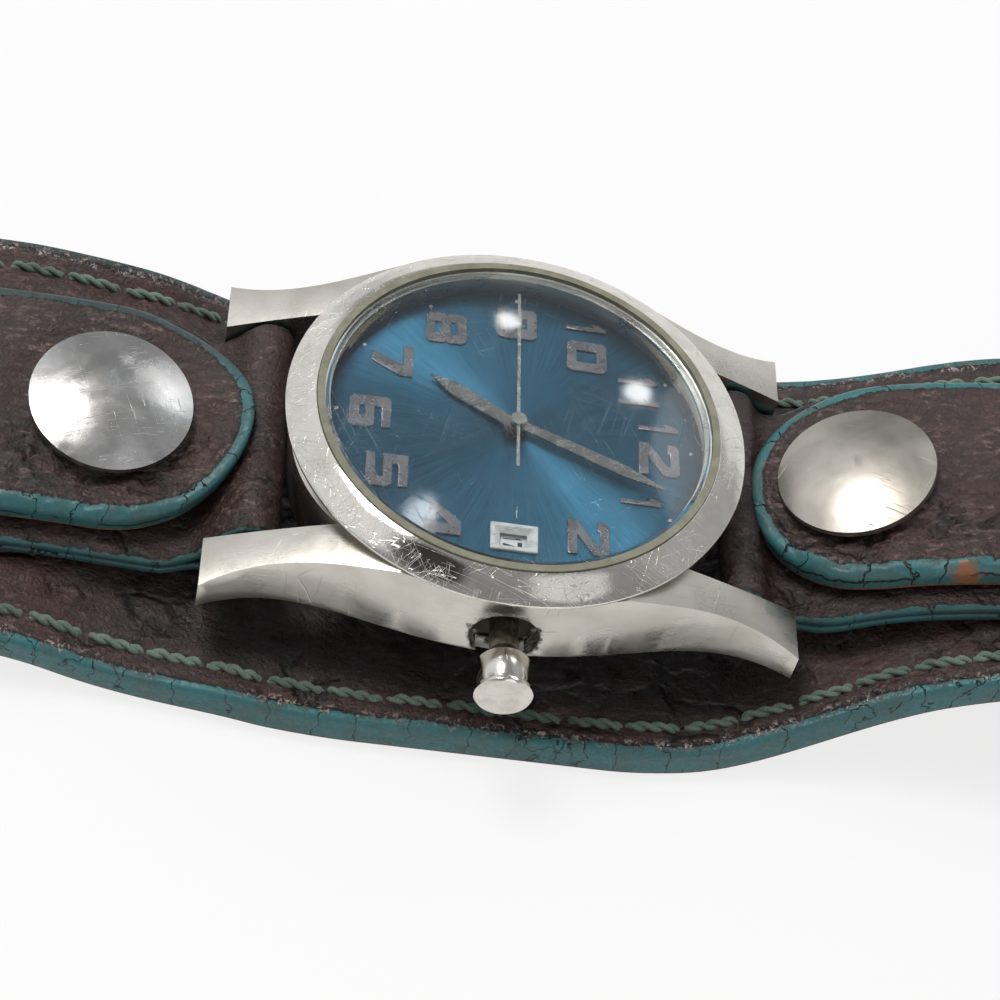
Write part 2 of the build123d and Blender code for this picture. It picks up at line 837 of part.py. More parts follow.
third_at = from_point((0, 0), third_distance, third_way)
inter_at = from_point((0, 0), inter_distance, inter_way)
rotor_at = from_point(inter_at, rotor_distance, rotor_way)
minute_at = from_point((0, 0), minute_distance, minute_way)
driver_at = from_point((0, 0), driver_distance, driver_way)


# The phase that puts a gap of the second gear on the first gear's tooth
def meshed(phase, teeth, other_teeth, way):
    return way + 180 + 180 / other_teeth - (phase - way) * teeth / other_teeth


def gear(teeth, module, z, height, phase, at=(0, 0)):
    tip_r, root_r = module * (teeth + 1.7) / 2, module * (teeth - 2.2) / 2
    points = []
    for i in range(teeth):
        turn = phase + 360 * i / teeth
        points.append(from_point(at, tip_r, turn))
        points.append(from_point(at, root_r, turn + 180 / teeth))
    with BuildPart() as wheel:
        with BuildSketch(Plane.XY.offset(z)):
            with BuildLine():
                Polyline(*points, close=True)
            make_face()
        extrude(amount=height)
    return wheel.part


first_step = 0.35
second_step = 0.4
third_step = 0.5
centre_step = 0.7
leaf_h = 0.3
inter_wheel_z = bridge_z + bridge_t + first_step
second_wheel_z = inter_wheel_z + second_step
third_wheel_z = second_wheel_z + third_step
centre_wheel_z = third_wheel_z + centre_step
cannon_z = motion_z
minute_wheel_z = motion_z + run_gap
hour_wheel_z = motion_z + leaf_h

# Hands: lengths from the centre, and the time they show, in degrees clockwise from 12
hour_inset, minute_inset, second_inset = 6.7, 2.0, 1.2
hour_width, minute_width, second_width = 1.3, 1.1, 0.25
hour_hub_r, minute_hub_r, second_hub_r = 1.0, 0.8, 0.6
second_tail = 4.7
hand_t = 0.15
hand_room = 0.45
hand_step = 0.35
hub_h = 0.3
widest_share = 0.72
hour_length = dial_r - hour_inset
minute_length = dial_r - minute_inset
second_length = dial_r - second_inset
hour_hand_z = dial_z + hand_room
minute_hand_z = hour_hand_z + hand_step
second_hand_z = minute_hand_z + hand_step
hour_turn, minute_turn, second_turn = -211.875, -22.5, -270


def hand(length, width, z, turn, hub_r, bore_r):
    with BuildPart() as pointer:
        with BuildSketch(Plane.XY.offset(z)):
            with BuildLine():
                Polyline(
                    from_point((0, 0), hub_r / 2, turn + 90),
                    from_point(from_point((0, 0), length * widest_share, turn), width / 2, turn + 90),
                    from_point((0, 0), length, turn),
                    from_point(from_point((0, 0), length * widest_share, turn), width / 2, turn - 90),
                    from_point((0, 0), hub_r / 2, turn - 90),
                    close=True,
                )
            make_face()
            Circle(hub_r)
        extrude(amount=hand_t)
        add(ring(z, hand_t, bore_r), mode=Mode.SUBTRACT)
    return pointer.part


save(hand(hour_length, hour_width, hour_hand_z, hour_turn, hour_hub_r, hour_pipe_r + fit_gap / 2), "hour_hand")
save(hand(minute_length, minute_width, minute_hand_z, minute_turn, minute_hub_r, cannon_r + fit_gap / 2), "minute_hand")

with BuildPart() as second_hand:
    with BuildSketch(Plane.XY.offset(second_hand_z)):
        with Locations(from_point((0, 0), (second_length - second_tail) / 2, second_turn)):
            Rectangle(second_width, second_length + second_tail)
    extrude(amount=hand_t)
    add(ring(second_hand_z, hub_h, second_hub_r))
    add(ring(second_hand_z - hand_t, hand_t * 2, second_arbor_r + fit_gap / 2), mode=Mode.SUBTRACT)
save(second_hand.part, "second_hand")

# Wheels on the centre axis: seconds, minutes and hours run one inside the next
with BuildPart() as fourth_wheel:
    add(ring(bridge_z, second_hand_z + hand_t - bridge_z, second_arbor_r))
    add(gear(second_leaves, third_module, third_wheel_z - run_gap * 2, leaf_h, third_way))
    add(gear(second_teeth, second_module, second_wheel_z, wheel_t, inter_way))
save(fourth_wheel.part, "fourth_wheel")

third_phase = meshed(third_way, second_leaves, third_teeth, third_way)
with BuildPart() as third_wheel:
    add(ring(bridge_z + bridge_t / 2, plate_z + plate_t / 2 - bridge_z - bridge_t / 2, arbor_r, at=third_at))
    add(gear(third_teeth, third_module, third_wheel_z, wheel_t, third_phase, third_at))
    add(gear(third_leaves, centre_module, third_wheel_z, centre_wheel_z + wheel_t - third_wheel_z, 0, third_at))
save(third_wheel.part, "third_wheel")

centre_phase = meshed(0, third_leaves, centre_teeth, third_way + 180)
with BuildPart() as centre_wheel:
    add(ring(centre_wheel_z - run_gap, minute_hand_z + hand_t - centre_wheel_z + run_gap, cannon_r))
    add(gear(centre_teeth, centre_module, centre_wheel_z, wheel_t, centre_phase))
    add(gear(cannon_leaves, minute_module, cannon_z, leaf_h - run_gap, minute_way))
    add(ring(bridge_z, bezel_z - bridge_z, cannon_bore_r), mode=Mode.SUBTRACT)
save(centre_wheel.part, "centre_wheel")

minute_phase = meshed(minute_way, cannon_leaves, minute_teeth, minute_way)
post_small_r = 0.25
with BuildPart() as minute_wheel:
    add(gear(minute_teeth, minute_module, minute_wheel_z, wheel_t, minute_phase, minute_at))
    add(gear(minute_leaves, hour_module, minute_wheel_z, leaf_h + wheel_t, minute_way + 180, minute_at))
    add(ring(minute_wheel_z, disc_top - minute_wheel_z, post_small_r + run_gap, at=minute_at), mode=Mode.SUBTRACT)
save(minute_wheel.part, "minute_wheel")

hour_phase = meshed(minute_way + 180, minute_leaves, hour_teeth, minute_way + 180)
with BuildPart() as hour_wheel:
    add(gear(hour_teeth, hour_module, hour_wheel_z, wheel_t, hour_phase))
    add(ring(hour_wheel_z, hour_hand_z + hand_t - hour_wheel_z, hour_pipe_r))
    add(ring(bridge_z, bezel_z - bridge_z, hour_bore_r), mode=Mode.SUBTRACT)
save(hour_wheel.part, "hour_wheel")

driver_post_r = 0.4
finger_w = 0.4
with BuildPart() as date_driver:
    driver_phase = meshed(hour_phase, hour_teeth, driver_teeth, driver_way)
    add(gear(driver_teeth, hour_module, hour_wheel_z, wheel_t, driver_phase, driver_at))
    add(ring(hour_wheel_z, disc_top - hour_wheel_z, 2 * driver_post_r, at=driver_at))
    with BuildSketch(Plane((driver_at[0], driver_at[1], disc_top - disc_t)).rotated((0, 0, driver_way + 180))):
        Rectangle(disc_root_r - driver_distance, finger_w, align=(Align.MIN, Align.CENTER))
    extrude(amount=disc_t)
    add(ring(bridge_z, bezel_z - bridge_z, driver_post_r + run_gap, at=driver_at), mode=Mode.SUBTRACT)
save(date_driver.part, "date_driver")

with BuildPart() as date_disc:
    add(ring(disc_top - disc_t, disc_t, disc_outer_r))
    teeth_points = []
    for i in range(disc_teeth):
        teeth_points.append(from_point((0, 0), disc_tooth_r, 360 * i / disc_teeth))
        teeth_points.append(from_point((0, 0), disc_root_r, 360 * (i + 0.5) / disc_teeth))
    with BuildSketch(Plane.XY.offset(disc_top - disc_t)):
        with BuildLine():
            Polyline(*teeth_points, close=True)
        make_face()
    extrude(amount=disc_t, mode=Mode.SUBTRACT)
save(date_disc.part, "date_disc")

with BuildPart() as intermediate_wheel:
    inter_phase = meshed(inter_way, second_teeth, inter_leaves, inter_way)
    add(ring(bridge_z + bridge_t / 2, plate_z + plate_t / 2 - bridge_z - bridge_t / 2, arbor_r, at=inter_at))
    add(gear(inter_leaves, second_module, second_wheel_z - run_gap, leaf_h, inter_phase, inter_at))
    add(gear(inter_teeth, inter_module, inter_wheel_z, wheel_t, rotor_way, inter_at))
    add(ring(inter_wheel_z, second_wheel_z - inter_wheel_z, 2 * arbor_r, at=inter_at))
save(intermediate_wheel.part, "intermediate_wheel")

rotor_r = 0.9
rotor_h = 0.55
rotor_step = 0.4
rotor_z = second_wheel_z + rotor_step
with BuildPart() as rotor:
    rotor_phase = meshed(rotor_way, inter_teeth, rotor_leaves, rotor_way)
    add(ring(bridge_z + bridge_t / 2, plate_z + plate_t / 2 - bridge_z - bridge_t / 2, arbor_r, at=rotor_at))
    add(gear(rotor_leaves, inter_module, inter_wheel_z - run_gap, leaf_h, rotor_phase, rotor_at))
    add(ring(rotor_z, rotor_h, rotor_r * plan_share, at=rotor_at))
save(rotor.part, "rotor")

# Stepping motor: stator plate with the rotor's hole, and the coil on its core
stator_t = 0.4
stator_z = rotor_z + (rotor_h - stator_t) / 2
coil_r = 0.75
core_r = 0.35
drawn_stator = (7.9, -4.1, 2.9, 3.6, 0.6, 1.1)
coil_x, coil_y, coil_half, core_half, pad_half, stator_hole_r = (size * plan_share for size in drawn_stator)

with BuildPart() as stator:
    with BuildSketch(Plane.XY.offset(stator_z)):
        with BuildLine():
            Polyline(
                (coil_x + pad_half, coil_y + core_half),
                (coil_x - 2 * pad_half, coil_y + core_half),
                (rotor_at[0] - stator_hole_r - pad_half, rotor_at[1] + stator_hole_r),
                (rotor_at[0] - stator_hole_r - pad_half, rotor_at[1] - stator_hole_r),
                (coil_x - 2 * pad_half, coil_y - core_half),
                (coil_x + pad_half, coil_y - core_half),
                (coil_x + pad_half, coil_y - coil_half - bar_gap),
                (coil_x - coil_r - bar_gap, coil_y - coil_half - bar_gap),
                (coil_x - coil_r - bar_gap, coil_y + coil_half + bar_gap),
                (coil_x + pad_half, coil_y + coil_half + bar_gap),
                close=True,
            )
        make_face()
        with Locations(rotor_at):
            Circle(stator_hole_r, mode=Mode.SUBTRACT)
    extrude(amount=stator_t)
save(stator.part, "stator")

with BuildPart() as coil:
    core_z = stator_z - core_r - fit_gap
    with BuildSketch(toward_nine(coil_x, coil_y - coil_half, core_z)):
        Circle(coil_r)
    extrude(amount=2 * coil_half)
    with BuildSketch(toward_nine(coil_x, coil_y - core_half, core_z)):
        Circle(core_r)
    extrude(amount=2 * core_half)
save(coil.part, "coil")

# Main plate with its rim, posts and pillars, and the bridge screwed to the pillars
drawn_pillars = (0.8, 11.2)
pillar_r, pillar_ring_r = (size * plan_share for size in drawn_pillars)
pillar_way_shares = (0.36, 0.61, 0.92)
seat_drawn_r = 11.0
seat_inner_r = seat_drawn_r * plan_share
drawn_battery = (4.75, 5.4, 5.2)
battery_r, battery_x, battery_y = (size * plan_share for size in drawn_battery)
battery_at = (battery_x, battery_y)
battery_t = 2.1
battery_gap = 0.25
battery_z = back_z + back_floor_t + battery_gap
screw_r = 0.35
screw_head_r = 0.7
screw_head_t = 0.3
pillars = [from_point((0, 0), pillar_ring_r, 360 * share) for share in pillar_way_shares]

with BuildPart() as main_plate:
    add(ring(plate_z, plate_t, plate_r))
    add(ring(plate_top, disc_top - plate_top + run_gap, plate_r, disc_outer_r + run_gap))
    add(ring(plate_top, disc_top - disc_t - run_gap - plate_top, disc_outer_r, seat_inner_r))
    add(ring(plate_top, disc_top - disc_t - run_gap - plate_top, post_small_r, at=minute_at))
    add(ring(plate_top, disc_top - disc_t - plate_top, driver_post_r, at=driver_at))
    for pillar in pillars:
        add(ring(bridge_z + bridge_t, plate_z - bridge_z - bridge_t, pillar_r, at=pillar))
        add(ring(bridge_z, plate_z - bridge_z, screw_r, at=pillar), mode=Mode.SUBTRACT)
    add(ring(plate_z, plate_t, cannon_r + run_gap), mode=Mode.SUBTRACT)
    for spot in (third_at, inter_at, rotor_at):
        add(ring(plate_z, plate_t / 2 + run_gap, arbor_r + pivot_gap, at=spot), mode=Mode.SUBTRACT)
save(main_plate.part, "main_plate")

with BuildPart() as train_bridge:
    add(ring(bridge_z, bridge_t, plate_r - fit_gap))
    add(ring(bridge_z, bridge_t, battery_r + soft_gap, at=battery_at), mode=Mode.SUBTRACT)
    with BuildSketch(Plane.XY.offset(bridge_z)):
        with Locations((battery_at[0] + battery_r, battery_at[1] + battery_r)):
            Rectangle(2 * battery_r, 2 * battery_r)
    extrude(amount=bridge_t, mode=Mode.SUBTRACT)
    for pillar in pillars:
        add(ring(bridge_z, bridge_t, screw_r + fit_gap, at=pillar), mode=Mode.SUBTRACT)
    add(ring(bridge_z, bridge_t, second_arbor_r + pivot_gap), mode=Mode.SUBTRACT)
    for spot in (third_at, inter_at, rotor_at):
        add(ring(bridge_z, bridge_t, arbor_r + pivot_gap, at=spot), mode=Mode.SUBTRACT)
save(train_bridge.part, "train_bridge")

with BuildPart() as bridge_screws:
    for pillar in pillars:
        add(ring(bridge_z - screw_head_t, screw_head_t - fit_gap / 2, screw_head_r, at=pillar))
        add(ring(bridge_z - screw_head_t, screw_head_t + bridge_t + pillar_r, screw_r - fit_gap / 2, at=pillar))
save(bridge_screws.part, "bridge_screws")

# Battery, its clamp and the circuit board
clamp_t = 0.15
clamp_w = 2.5
battery_lip = 0.2
with BuildPart() as battery:
    add(ring(battery_z, battery_t, battery_r, at=battery_at))
    chamfer(battery.faces().sort_by(Axis.Z)[-1].edges(), battery_lip)
save(battery.part, "battery")

with BuildPart() as battery_clamp:
    with BuildSketch(Plane.XY.offset(battery_z - clamp_t - fit_gap)):
        with Locations(battery_at):
            Rectangle(2 * battery_r, clamp_w, rotation=135)
    extrude(amount=clamp_t)
save(battery_clamp.part, "battery_clamp")

drawn_board = (5.5, 6.4, -6.2, 4.3, 2.0)
board_w, board_h, board_x, board_y, chip_w = (size * plan_share for size in drawn_board)
board_at = (board_x, board_y)
board_t, chip_t = 0.3, 0.4
with BuildPart() as circuit_board:
    with BuildSketch(Plane.XY.offset(bridge_z - board_t - fit_gap)):
        with Locations(board_at):
            Rectangle(board_w, board_h)
    extrude(amount=board_t)
    with BuildSketch(Plane.XY.offset(bridge_z - board_t - fit_gap - chip_t)):
        with Locations(board_at):
            Rectangle(chip_w, chip_w)
    extrude(amount=chip_t)
save(circuit_board.part, "circuit_board")

# Holding ring between the movement and the case bore
holder_z = case_z + plug_h + soft_gap
holder_top = dial_z - dial_t - fit_gap
with BuildPart() as movement_ring:
    add(ring(holder_z, holder_top - holder_z, dial_r, plate_r + run_gap))
    for foot_side in (-1, 1):
        foot_at = (foot_side * foot_ring_r, 0)
        foot_z = holder_top - foot_length
        add(ring(foot_z - run_gap, foot_length + 2 * run_gap, foot_r + run_gap, at=foot_at), mode=Mode.SUBTRACT)
    with BuildSketch(toward_crown(0)):
        Circle(stem_r + bar_gap)
    extrude(amount=bezel_r, mode=Mode.SUBTRACT)
save(movement_ring.part, "movement_ring")

# Crown pulled out to the setting position, on its stem
crown_r = 2.2
crown_body_r = 1.95
crown_waist_r = 1.8
crown_end_past = 4.75
crown_inner_past = 1.6
crown_disc_t = 0.45
crown_groove = 0.6
crown_chamfer = 0.15
crown_bore_r = 1.62
crown_bore_depth = 2.2
tube_end_past = 0.6
tube_inner_past = 0.1
stem_end_inset = 4.6
stem_thin_inset = 0.6
groove_inset = 1.6
stem_thin_r = 0.4
clutch_r = 0.75
clutch_length = 1.2
groove_width = 0.5
groove_r = 0.25
crown_end_y = bezel_r + crown_end_past
crown_inner_y = bezel_r + crown_inner_past
tube_end_y = bezel_r + tube_end_past
tube_inner_y = case_bore_r + tube_inner_past
stem_end_y = plate_r - stem_end_inset
stem_thin_y = plate_r - stem_thin_inset
groove_y = plate_r - groove_inset
stem_axis = Axis((0, 0, stem_z), (0, 1, 0))

with BuildPart() as crown:
    with BuildSketch(Plane(origin=(0, 0, stem_z), x_dir=(0, -1, 0), z_dir=(1, 0, 0))):
        with BuildLine():
            Polyline(
                (crown_end_y, 0),
                (crown_end_y, crown_r - crown_chamfer),
                (crown_end_y - crown_chamfer, crown_r),
                (crown_end_y - crown_disc_t, crown_r),
                (crown_end_y - crown_disc_t - crown_groove / 2, crown_waist_r),
                (crown_end_y - crown_disc_t - crown_groove, crown_body_r),
                (crown_inner_y, crown_body_r),
                (crown_inner_y, crown_bore_r),
                (crown_inner_y + crown_bore_depth, crown_bore_r),
                (crown_inner_y + crown_bore_depth, 0),
                close=True,
            )
        make_face()
    revolve(axis=stem_axis)
save(crown.part, "crown")

crown_seal_t = 0.5
with BuildPart() as crown_gasket:
    with BuildSketch(toward_crown(crown_inner_y + fit_gap)):
        Circle(crown_bore_r - fit_gap)
        Circle(tube_r + run_gap, mode=Mode.SUBTRACT)
    extrude(amount=crown_seal_t)
save(crown_gasket.part, "crown_gasket")

with BuildPart() as case_tube:
    with BuildSketch(toward_crown(tube_inner_y)):
        Circle(tube_r)
        Circle(stem_r + run_gap, mode=Mode.SUBTRACT)
    extrude(amount=tube_end_y - tube_inner_y)
save(case_tube.part, "case_tube")

with BuildPart() as winding_stem:
    with BuildSketch(toward_crown(stem_thin_y)):
        Circle(stem_r)
    extrude(amount=crown_inner_y + crown_bore_depth - fit_gap / 2 - stem_thin_y)
    with BuildSketch(toward_crown(stem_end_y)):
        Circle(stem_thin_r)
    extrude(amount=stem_thin_y - stem_end_y)
    with BuildSketch(toward_crown(stem_end_y)):
        Circle(clutch_r)
    extrude(amount=clutch_length)
    with BuildSketch(toward_crown(groove_y)):
        Circle(stem_r)
        Circle(groove_r, mode=Mode.SUBTRACT)
    extrude(amount=groove_width, mode=Mode.SUBTRACT)
save(winding_stem.part, "winding_stem")

# Setting lever: a fork in the stem's groove that travels with it but doesn't turn
lever_half = 0.9
lever_arm = 2.6
lever_low = 0.5
lever_high = 0.75
lever_t = groove_width - 2 * run_gap
with BuildPart() as setting_lever:
    with BuildSketch(toward_crown(groove_y + run_gap)):
        with BuildLine():
            Polyline(
                (-lever_half, -lever_low),
                (lever_arm, -lever_low),
                (lever_arm, lever_high),
                (-lever_half, lever_high),
                close=True,
            )
        make_face()
        Circle(groove_r + run_gap, mode=Mode.SUBTRACT)
        with Locations((0, -lever_low)):
            Rectangle(2 * (groove_r + run_gap), 2 * lever_low, mode=Mode.SUBTRACT)
    extrude(amount=lever_t)
save(setting_lever.part, "setting_lever")
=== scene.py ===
import math

import bmesh
import bpy
from mathutils import Matrix, Vector, noise


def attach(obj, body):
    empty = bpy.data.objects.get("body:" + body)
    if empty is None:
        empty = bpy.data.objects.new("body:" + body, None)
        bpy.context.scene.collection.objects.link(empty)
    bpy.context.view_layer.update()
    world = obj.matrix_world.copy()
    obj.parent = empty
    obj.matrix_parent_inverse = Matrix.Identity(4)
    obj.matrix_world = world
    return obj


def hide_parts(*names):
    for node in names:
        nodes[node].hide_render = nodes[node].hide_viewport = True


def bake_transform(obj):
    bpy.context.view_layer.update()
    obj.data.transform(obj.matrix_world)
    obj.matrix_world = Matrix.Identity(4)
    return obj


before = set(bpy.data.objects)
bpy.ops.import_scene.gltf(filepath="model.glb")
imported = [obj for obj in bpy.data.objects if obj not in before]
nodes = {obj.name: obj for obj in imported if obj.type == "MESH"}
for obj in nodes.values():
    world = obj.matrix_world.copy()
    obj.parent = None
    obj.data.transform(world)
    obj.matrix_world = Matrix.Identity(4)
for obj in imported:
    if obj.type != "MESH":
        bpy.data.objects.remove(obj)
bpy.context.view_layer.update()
mm = 0.001
print("frame loaded,", len(nodes), "pieces")

# camera, at the photograph's place; angles in degrees, lengths in millimetres

photoView = {
    "azimuth": -11.49,
    "elevation": 48.55,
    "roll": -16.03,
    "distance": 192.03,
    "target": (-1.32, -8.18, 15.4),
    "lens": 92.375,
}


def addObject(name, data):
    made = bpy.data.objects.new(name, data)
    bpy.context.scene.collection.objects.link(made)
    return made


def headed(angle):
    # a direction in the plane, by its angle in degrees
    turn = math.radians(angle)
    return Vector((math.cos(turn), math.sin(turn)))


def addPiece(name, mesh, body, replaced=()):
    # a finished mesh that rides on a body and stands in for the frame's nodes it replaces
    piece = addObject(name, mesh)
    if body:
        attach(piece, body)
    if replaced:
        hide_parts(*replaced)
    return piece


def addCamera(v):
    a, e, r = (math.radians(v[k]) for k in ("azimuth", "elevation", "roll"))
    back = Vector((math.sin(a) * math.cos(e), -math.cos(a) * math.cos(e), math.sin(e)))
    right = (-back).cross(Vector((0, 0, 1))).normalized()
    down = (-back).cross(right)
    right, down = right * math.cos(r) + down * math.sin(r), down * math.cos(r) - right * math.sin(r)
    data = bpy.data.cameras.new("photoCamera")
    data.lens = v["lens"]
    data.sensor_width = 36
    data.clip_start = 0.005
    data.clip_end = 20
    camera = addObject("photoCamera", data)
    turn = Matrix((right, -down, back)).transposed().to_4x4()
    camera.matrix_world = Matrix.Translation((Vector(v["target"]) + back * v["distance"]) * mm) @ turn
    bpy.context.scene.camera = camera


addCamera(photoView)
bpy.context.scene.view_settings.view_transform = "Standard"

# small helpers for node materials


class Paint:
    # one material and its node tree, with short calls to add and join nodes

    def __init__(self, name, room=None):
        if room:
            self.tree = room.node_tree
            self.place = self.add("ShaderNodeTexCoord").outputs["Generated"]
            return
        self.material = bpy.data.materials.new(name)
        self.material.use_nodes = True
        self.tree = self.material.node_tree
        self.shader = self.tree.nodes["Principled BSDF"]
        self.output = self.tree.nodes["Material Output"]
        self.place = self.add("ShaderNodeTexCoord").outputs["Object"]

    def add(self, kind, **settings):
        node = self.tree.nodes.new(kind)
        for key, value in settings.items():
            setattr(node, key, value)
        return node

    def join(self, source, socket):
        if isinstance(source, (int, float, tuple, list)):
            socket.default_value = source
        else:
            self.tree.links.new(source, socket)

    def feed(self, kind, inputs, **settings):
        # a new node with its inputs joined, by name or in order
        node = self.add(kind, **settings)
        for key, source in inputs.items() if isinstance(inputs, dict) else enumerate(inputs):
            self.join(source, node.inputs[key])
        return node.outputs

    def stretch(self, lengths, turn=0.0):
        # marks become this much longer along each axis of a frame turned about Z
        inputs = {"Vector": self.place, "Scale": lengths, "Rotation": (0, 0, math.radians(turn))}
        return self.feed("ShaderNodeMapping", inputs, vector_type="TEXTURE")["Vector"]

    def squeeze(self, source, scale):
        return self.feed("ShaderNodeVectorMath", (source, scale), operation="MULTIPLY")[0]

    def parts(self, source):
        return self.feed("ShaderNodeSeparateXYZ", (source,))

    def cloud(self, size, detail=4, rough=0.55, warp=0, source=None):
        # fractal noise whose lumps are about size millimetres across
        inputs = {"Vector": source or self.place, "Scale": 1000 / size, "Detail": detail, "Roughness": rough}
        return self.feed("ShaderNodeTexNoise", dict(inputs, Distortion=warp))["Fac"]

    def drift(self, size, detail, amount, source=None):
        # the place pushed about by noise whose lumps are size millimetres across
        inputs = {"Vector": self.place, "Scale": 1000 / size, "Detail": detail}
        noisy = self.feed("ShaderNodeTexNoise", inputs)["Color"]
        return self.mix(amount, source or self.place, noisy, "ADD")

    def cells(self, size, source=None):
        # distance to the nearest edge of cells about size millimetres across
        inputs = {"Vector": source or self.place, "Scale": 1000 / size}
        return self.feed("ShaderNodeTexVoronoi", inputs, feature="DISTANCE_TO_EDGE")["Distance"]

    def against(self, kind, vector):
        # DISTANCE from a place, or DOT_PRODUCT with a direction
        return self.feed("ShaderNodeVectorMath", (self.place, tuple(vector)), operation=kind)["Value"]

    def calc(self, kind, a, b=0.0, c=0.0, clamp=False):
        return self.feed("ShaderNodeMath", (a, b, c), operation=kind, use_clamp=clamp)[0]

    def times(self, a, b, clamp=False):
        return self.calc("MULTIPLY", a, b, clamp=clamp)

    def timesPlus(self, a, b, c):
        return self.calc("MULTIPLY_ADD", a, b, c)

    def gapTo(self, a, b):
        return self.calc("ABSOLUTE", self.calc("SUBTRACT", a, b))

    def reach(self, a, b):
        return self.calc("SQRT", self.calc("ADD", self.times(a, a), self.times(b, b)))

    def wobble(self, value, noisy, amount):
        # value moved up and down by a cloud
        return self.timesPlus(self.calc("SUBTRACT", noisy, 0.5), amount, value)

    def span(self, value, low, high, start=0.0, end=1.0):
        # value runs from low to high, the result from start to end
        inputs = {"Value": value, "From Min": low, "From Max": high, "To Min": start, "To Max": end}
        return self.feed("ShaderNodeMapRange", inputs, interpolation_type="SMOOTHSTEP")["Result"]

    def fade(self, value, low, high, start=1.0):
        return self.span(value, low, high, start, 0.0)

    def hairlines(self, spacing, turn, width, kept):
        # long thin scratches on a heading, broken off where a cloud says so
        noisy = self.cloud(spacing, 1, 0.3, source=self.stretch((26, 1, 5), turn))
        line = self.fade(self.gapTo(noisy, 0.5), 0.0, width)
        return self.times(line, self.span(self.cloud(spacing * 4 + 1, 2, 0.5), kept, kept + 0.06))

    def seenRay(self):
        # 1 where the camera, a reflection or a view through glass looks, else 0
        ray = self.add("ShaderNodeLightPath").outputs
        seen = self.calc("ADD", ray["Is Camera Ray"], ray["Is Glossy Ray"])
        return self.calc("ADD", seen, ray["Is Transmission Ray"], clamp=True)

    def mix(self, share, a, b, kind="MIX"):
        a, b = ((*tone, 1) if isinstance(tone, tuple) else tone for tone in (a, b))
        return self.feed("ShaderNodeMix", {0: share, 6: a, 7: b}, data_type="RGBA", blend_type=kind)[2]

    def field(self, name):
        return self.add("ShaderNodeAttribute", attribute_name=name).outputs["Fac"]

    def bump(self, height, depth, strength=1.0):
        # depth in millimetres
        inputs = {"Height": height, "Strength": strength, "Distance": depth * mm}
        return self.feed("ShaderNodeBump", inputs)["Normal"]

    def set(self, **values):
        names = {
            "color": "Base Color",
            "metal": "Metallic",
            "rough": "Roughness",
            "specular": "Specular IOR Level",
            "normal": "Normal",
            "coat": "Coat Weight",
            "coatRough": "Coat Roughness",
            "sheen": "Sheen Weight",
            "stretch": "Anisotropic",
            "tangent": "Tangent",
            "clear": "Transmission Weight",
            "ior": "IOR",
        }
        for key, value in values.items():
            if key == "color" and isinstance(value, tuple):
                value = (*value, 1)
            self.join(value, self.shader.inputs[names[key]])
        return self.material

    def coverWith(self, share, other):
        # another shader covers this share of the main one
        both = self.feed("ShaderNodeMixShader", (share, self.shader.outputs[0], other))
        self.join(both[0], self.output.inputs["Surface"])
        return self.material


# leather: brown hide with creases and scuffs, and the painted edge where the fields say so

hide = {
    "deep": (0.006, 0.004, 0.004),
    "brown": (0.056, 0.03, 0.0255),
    "red": (0.08, 0.033, 0.0265),
    # tone of the scuffs, which also paint a highlight on the wrinkles' crests
    "worn": (0.33, 0.225, 0.205),
    # sizes of the pores and of the wrinkles' cells, in millimetres
    "grain": 0.55,
    "wrinkle": 4.4,
}
edgePaint = {
    "teal": (0.03, 0.17, 0.185),
    "dull": (0.048, 0.13, 0.132),
    "chalk": (0.42, 0.38, 0.36),
    "crack": (0.006, 0.012, 0.013),
    # tone of the painted shade on the far left edge
    "farShade": (0.03, 0.036, 0.036),
    "crackEvery": 3.9,
    "blur": 0.05,
    "seamIn": 0.12,
}
leatherLooks = {
    # paint: how far in from the rim the paint reaches; plies: height of the crack between two plies
    # crack: width of the paint's cracks; wear and sheen: how strong the scuffs and their painted highlight on
    # the crests are; chalk: how many pale flakes
    # wrinkled: places across the cuff where the leather goes from smooth to wrinkled
    # shade: painted shade over the whole piece where given, for pieces in shadow; dark: a painted shadow
    # under the head: how dark, half length and half width there
    # bare: place, reach and tone of a spot rubbed down to tan; all lengths in millimetres
    "base": {
        "paint": 0.75, "crack": 0.011, "wearAndSheen": 0.5, "chalk": 1.0, "wrinkled": (24, -20),
        "dark": (0.8, 17, 15.5),
    },
    "tabRight": {
        "paint": 1.15, "plies": 1.5, "crack": 0.02, "wearAndSheen": 0.95, "chalk": 0.3, "wrinkled": (3, -7),
        "bare": ((34.8, -9.9, 15.6), 1.5, (0.3, 0.1, 0.025)),
    },
    "tabLeft": {
        "paint": 1.1, "plies": 1.2, "crack": 0.011, "wearAndSheen": 0.95, "chalk": 0.2, "wrinkled": (1, -7),
        "shade": 0.9,
    },
    "loop": {"paint": 0.25, "crack": 0.012, "wearAndSheen": 0.8, "chalk": 0.1, "wrinkled": (16, -16), "shade": 0.7},
    "strap": {"paint": 0.2, "crack": 0.012, "wearAndSheen": 0.5, "chalk": 0.1, "wrinkled": (16, -16)},
}


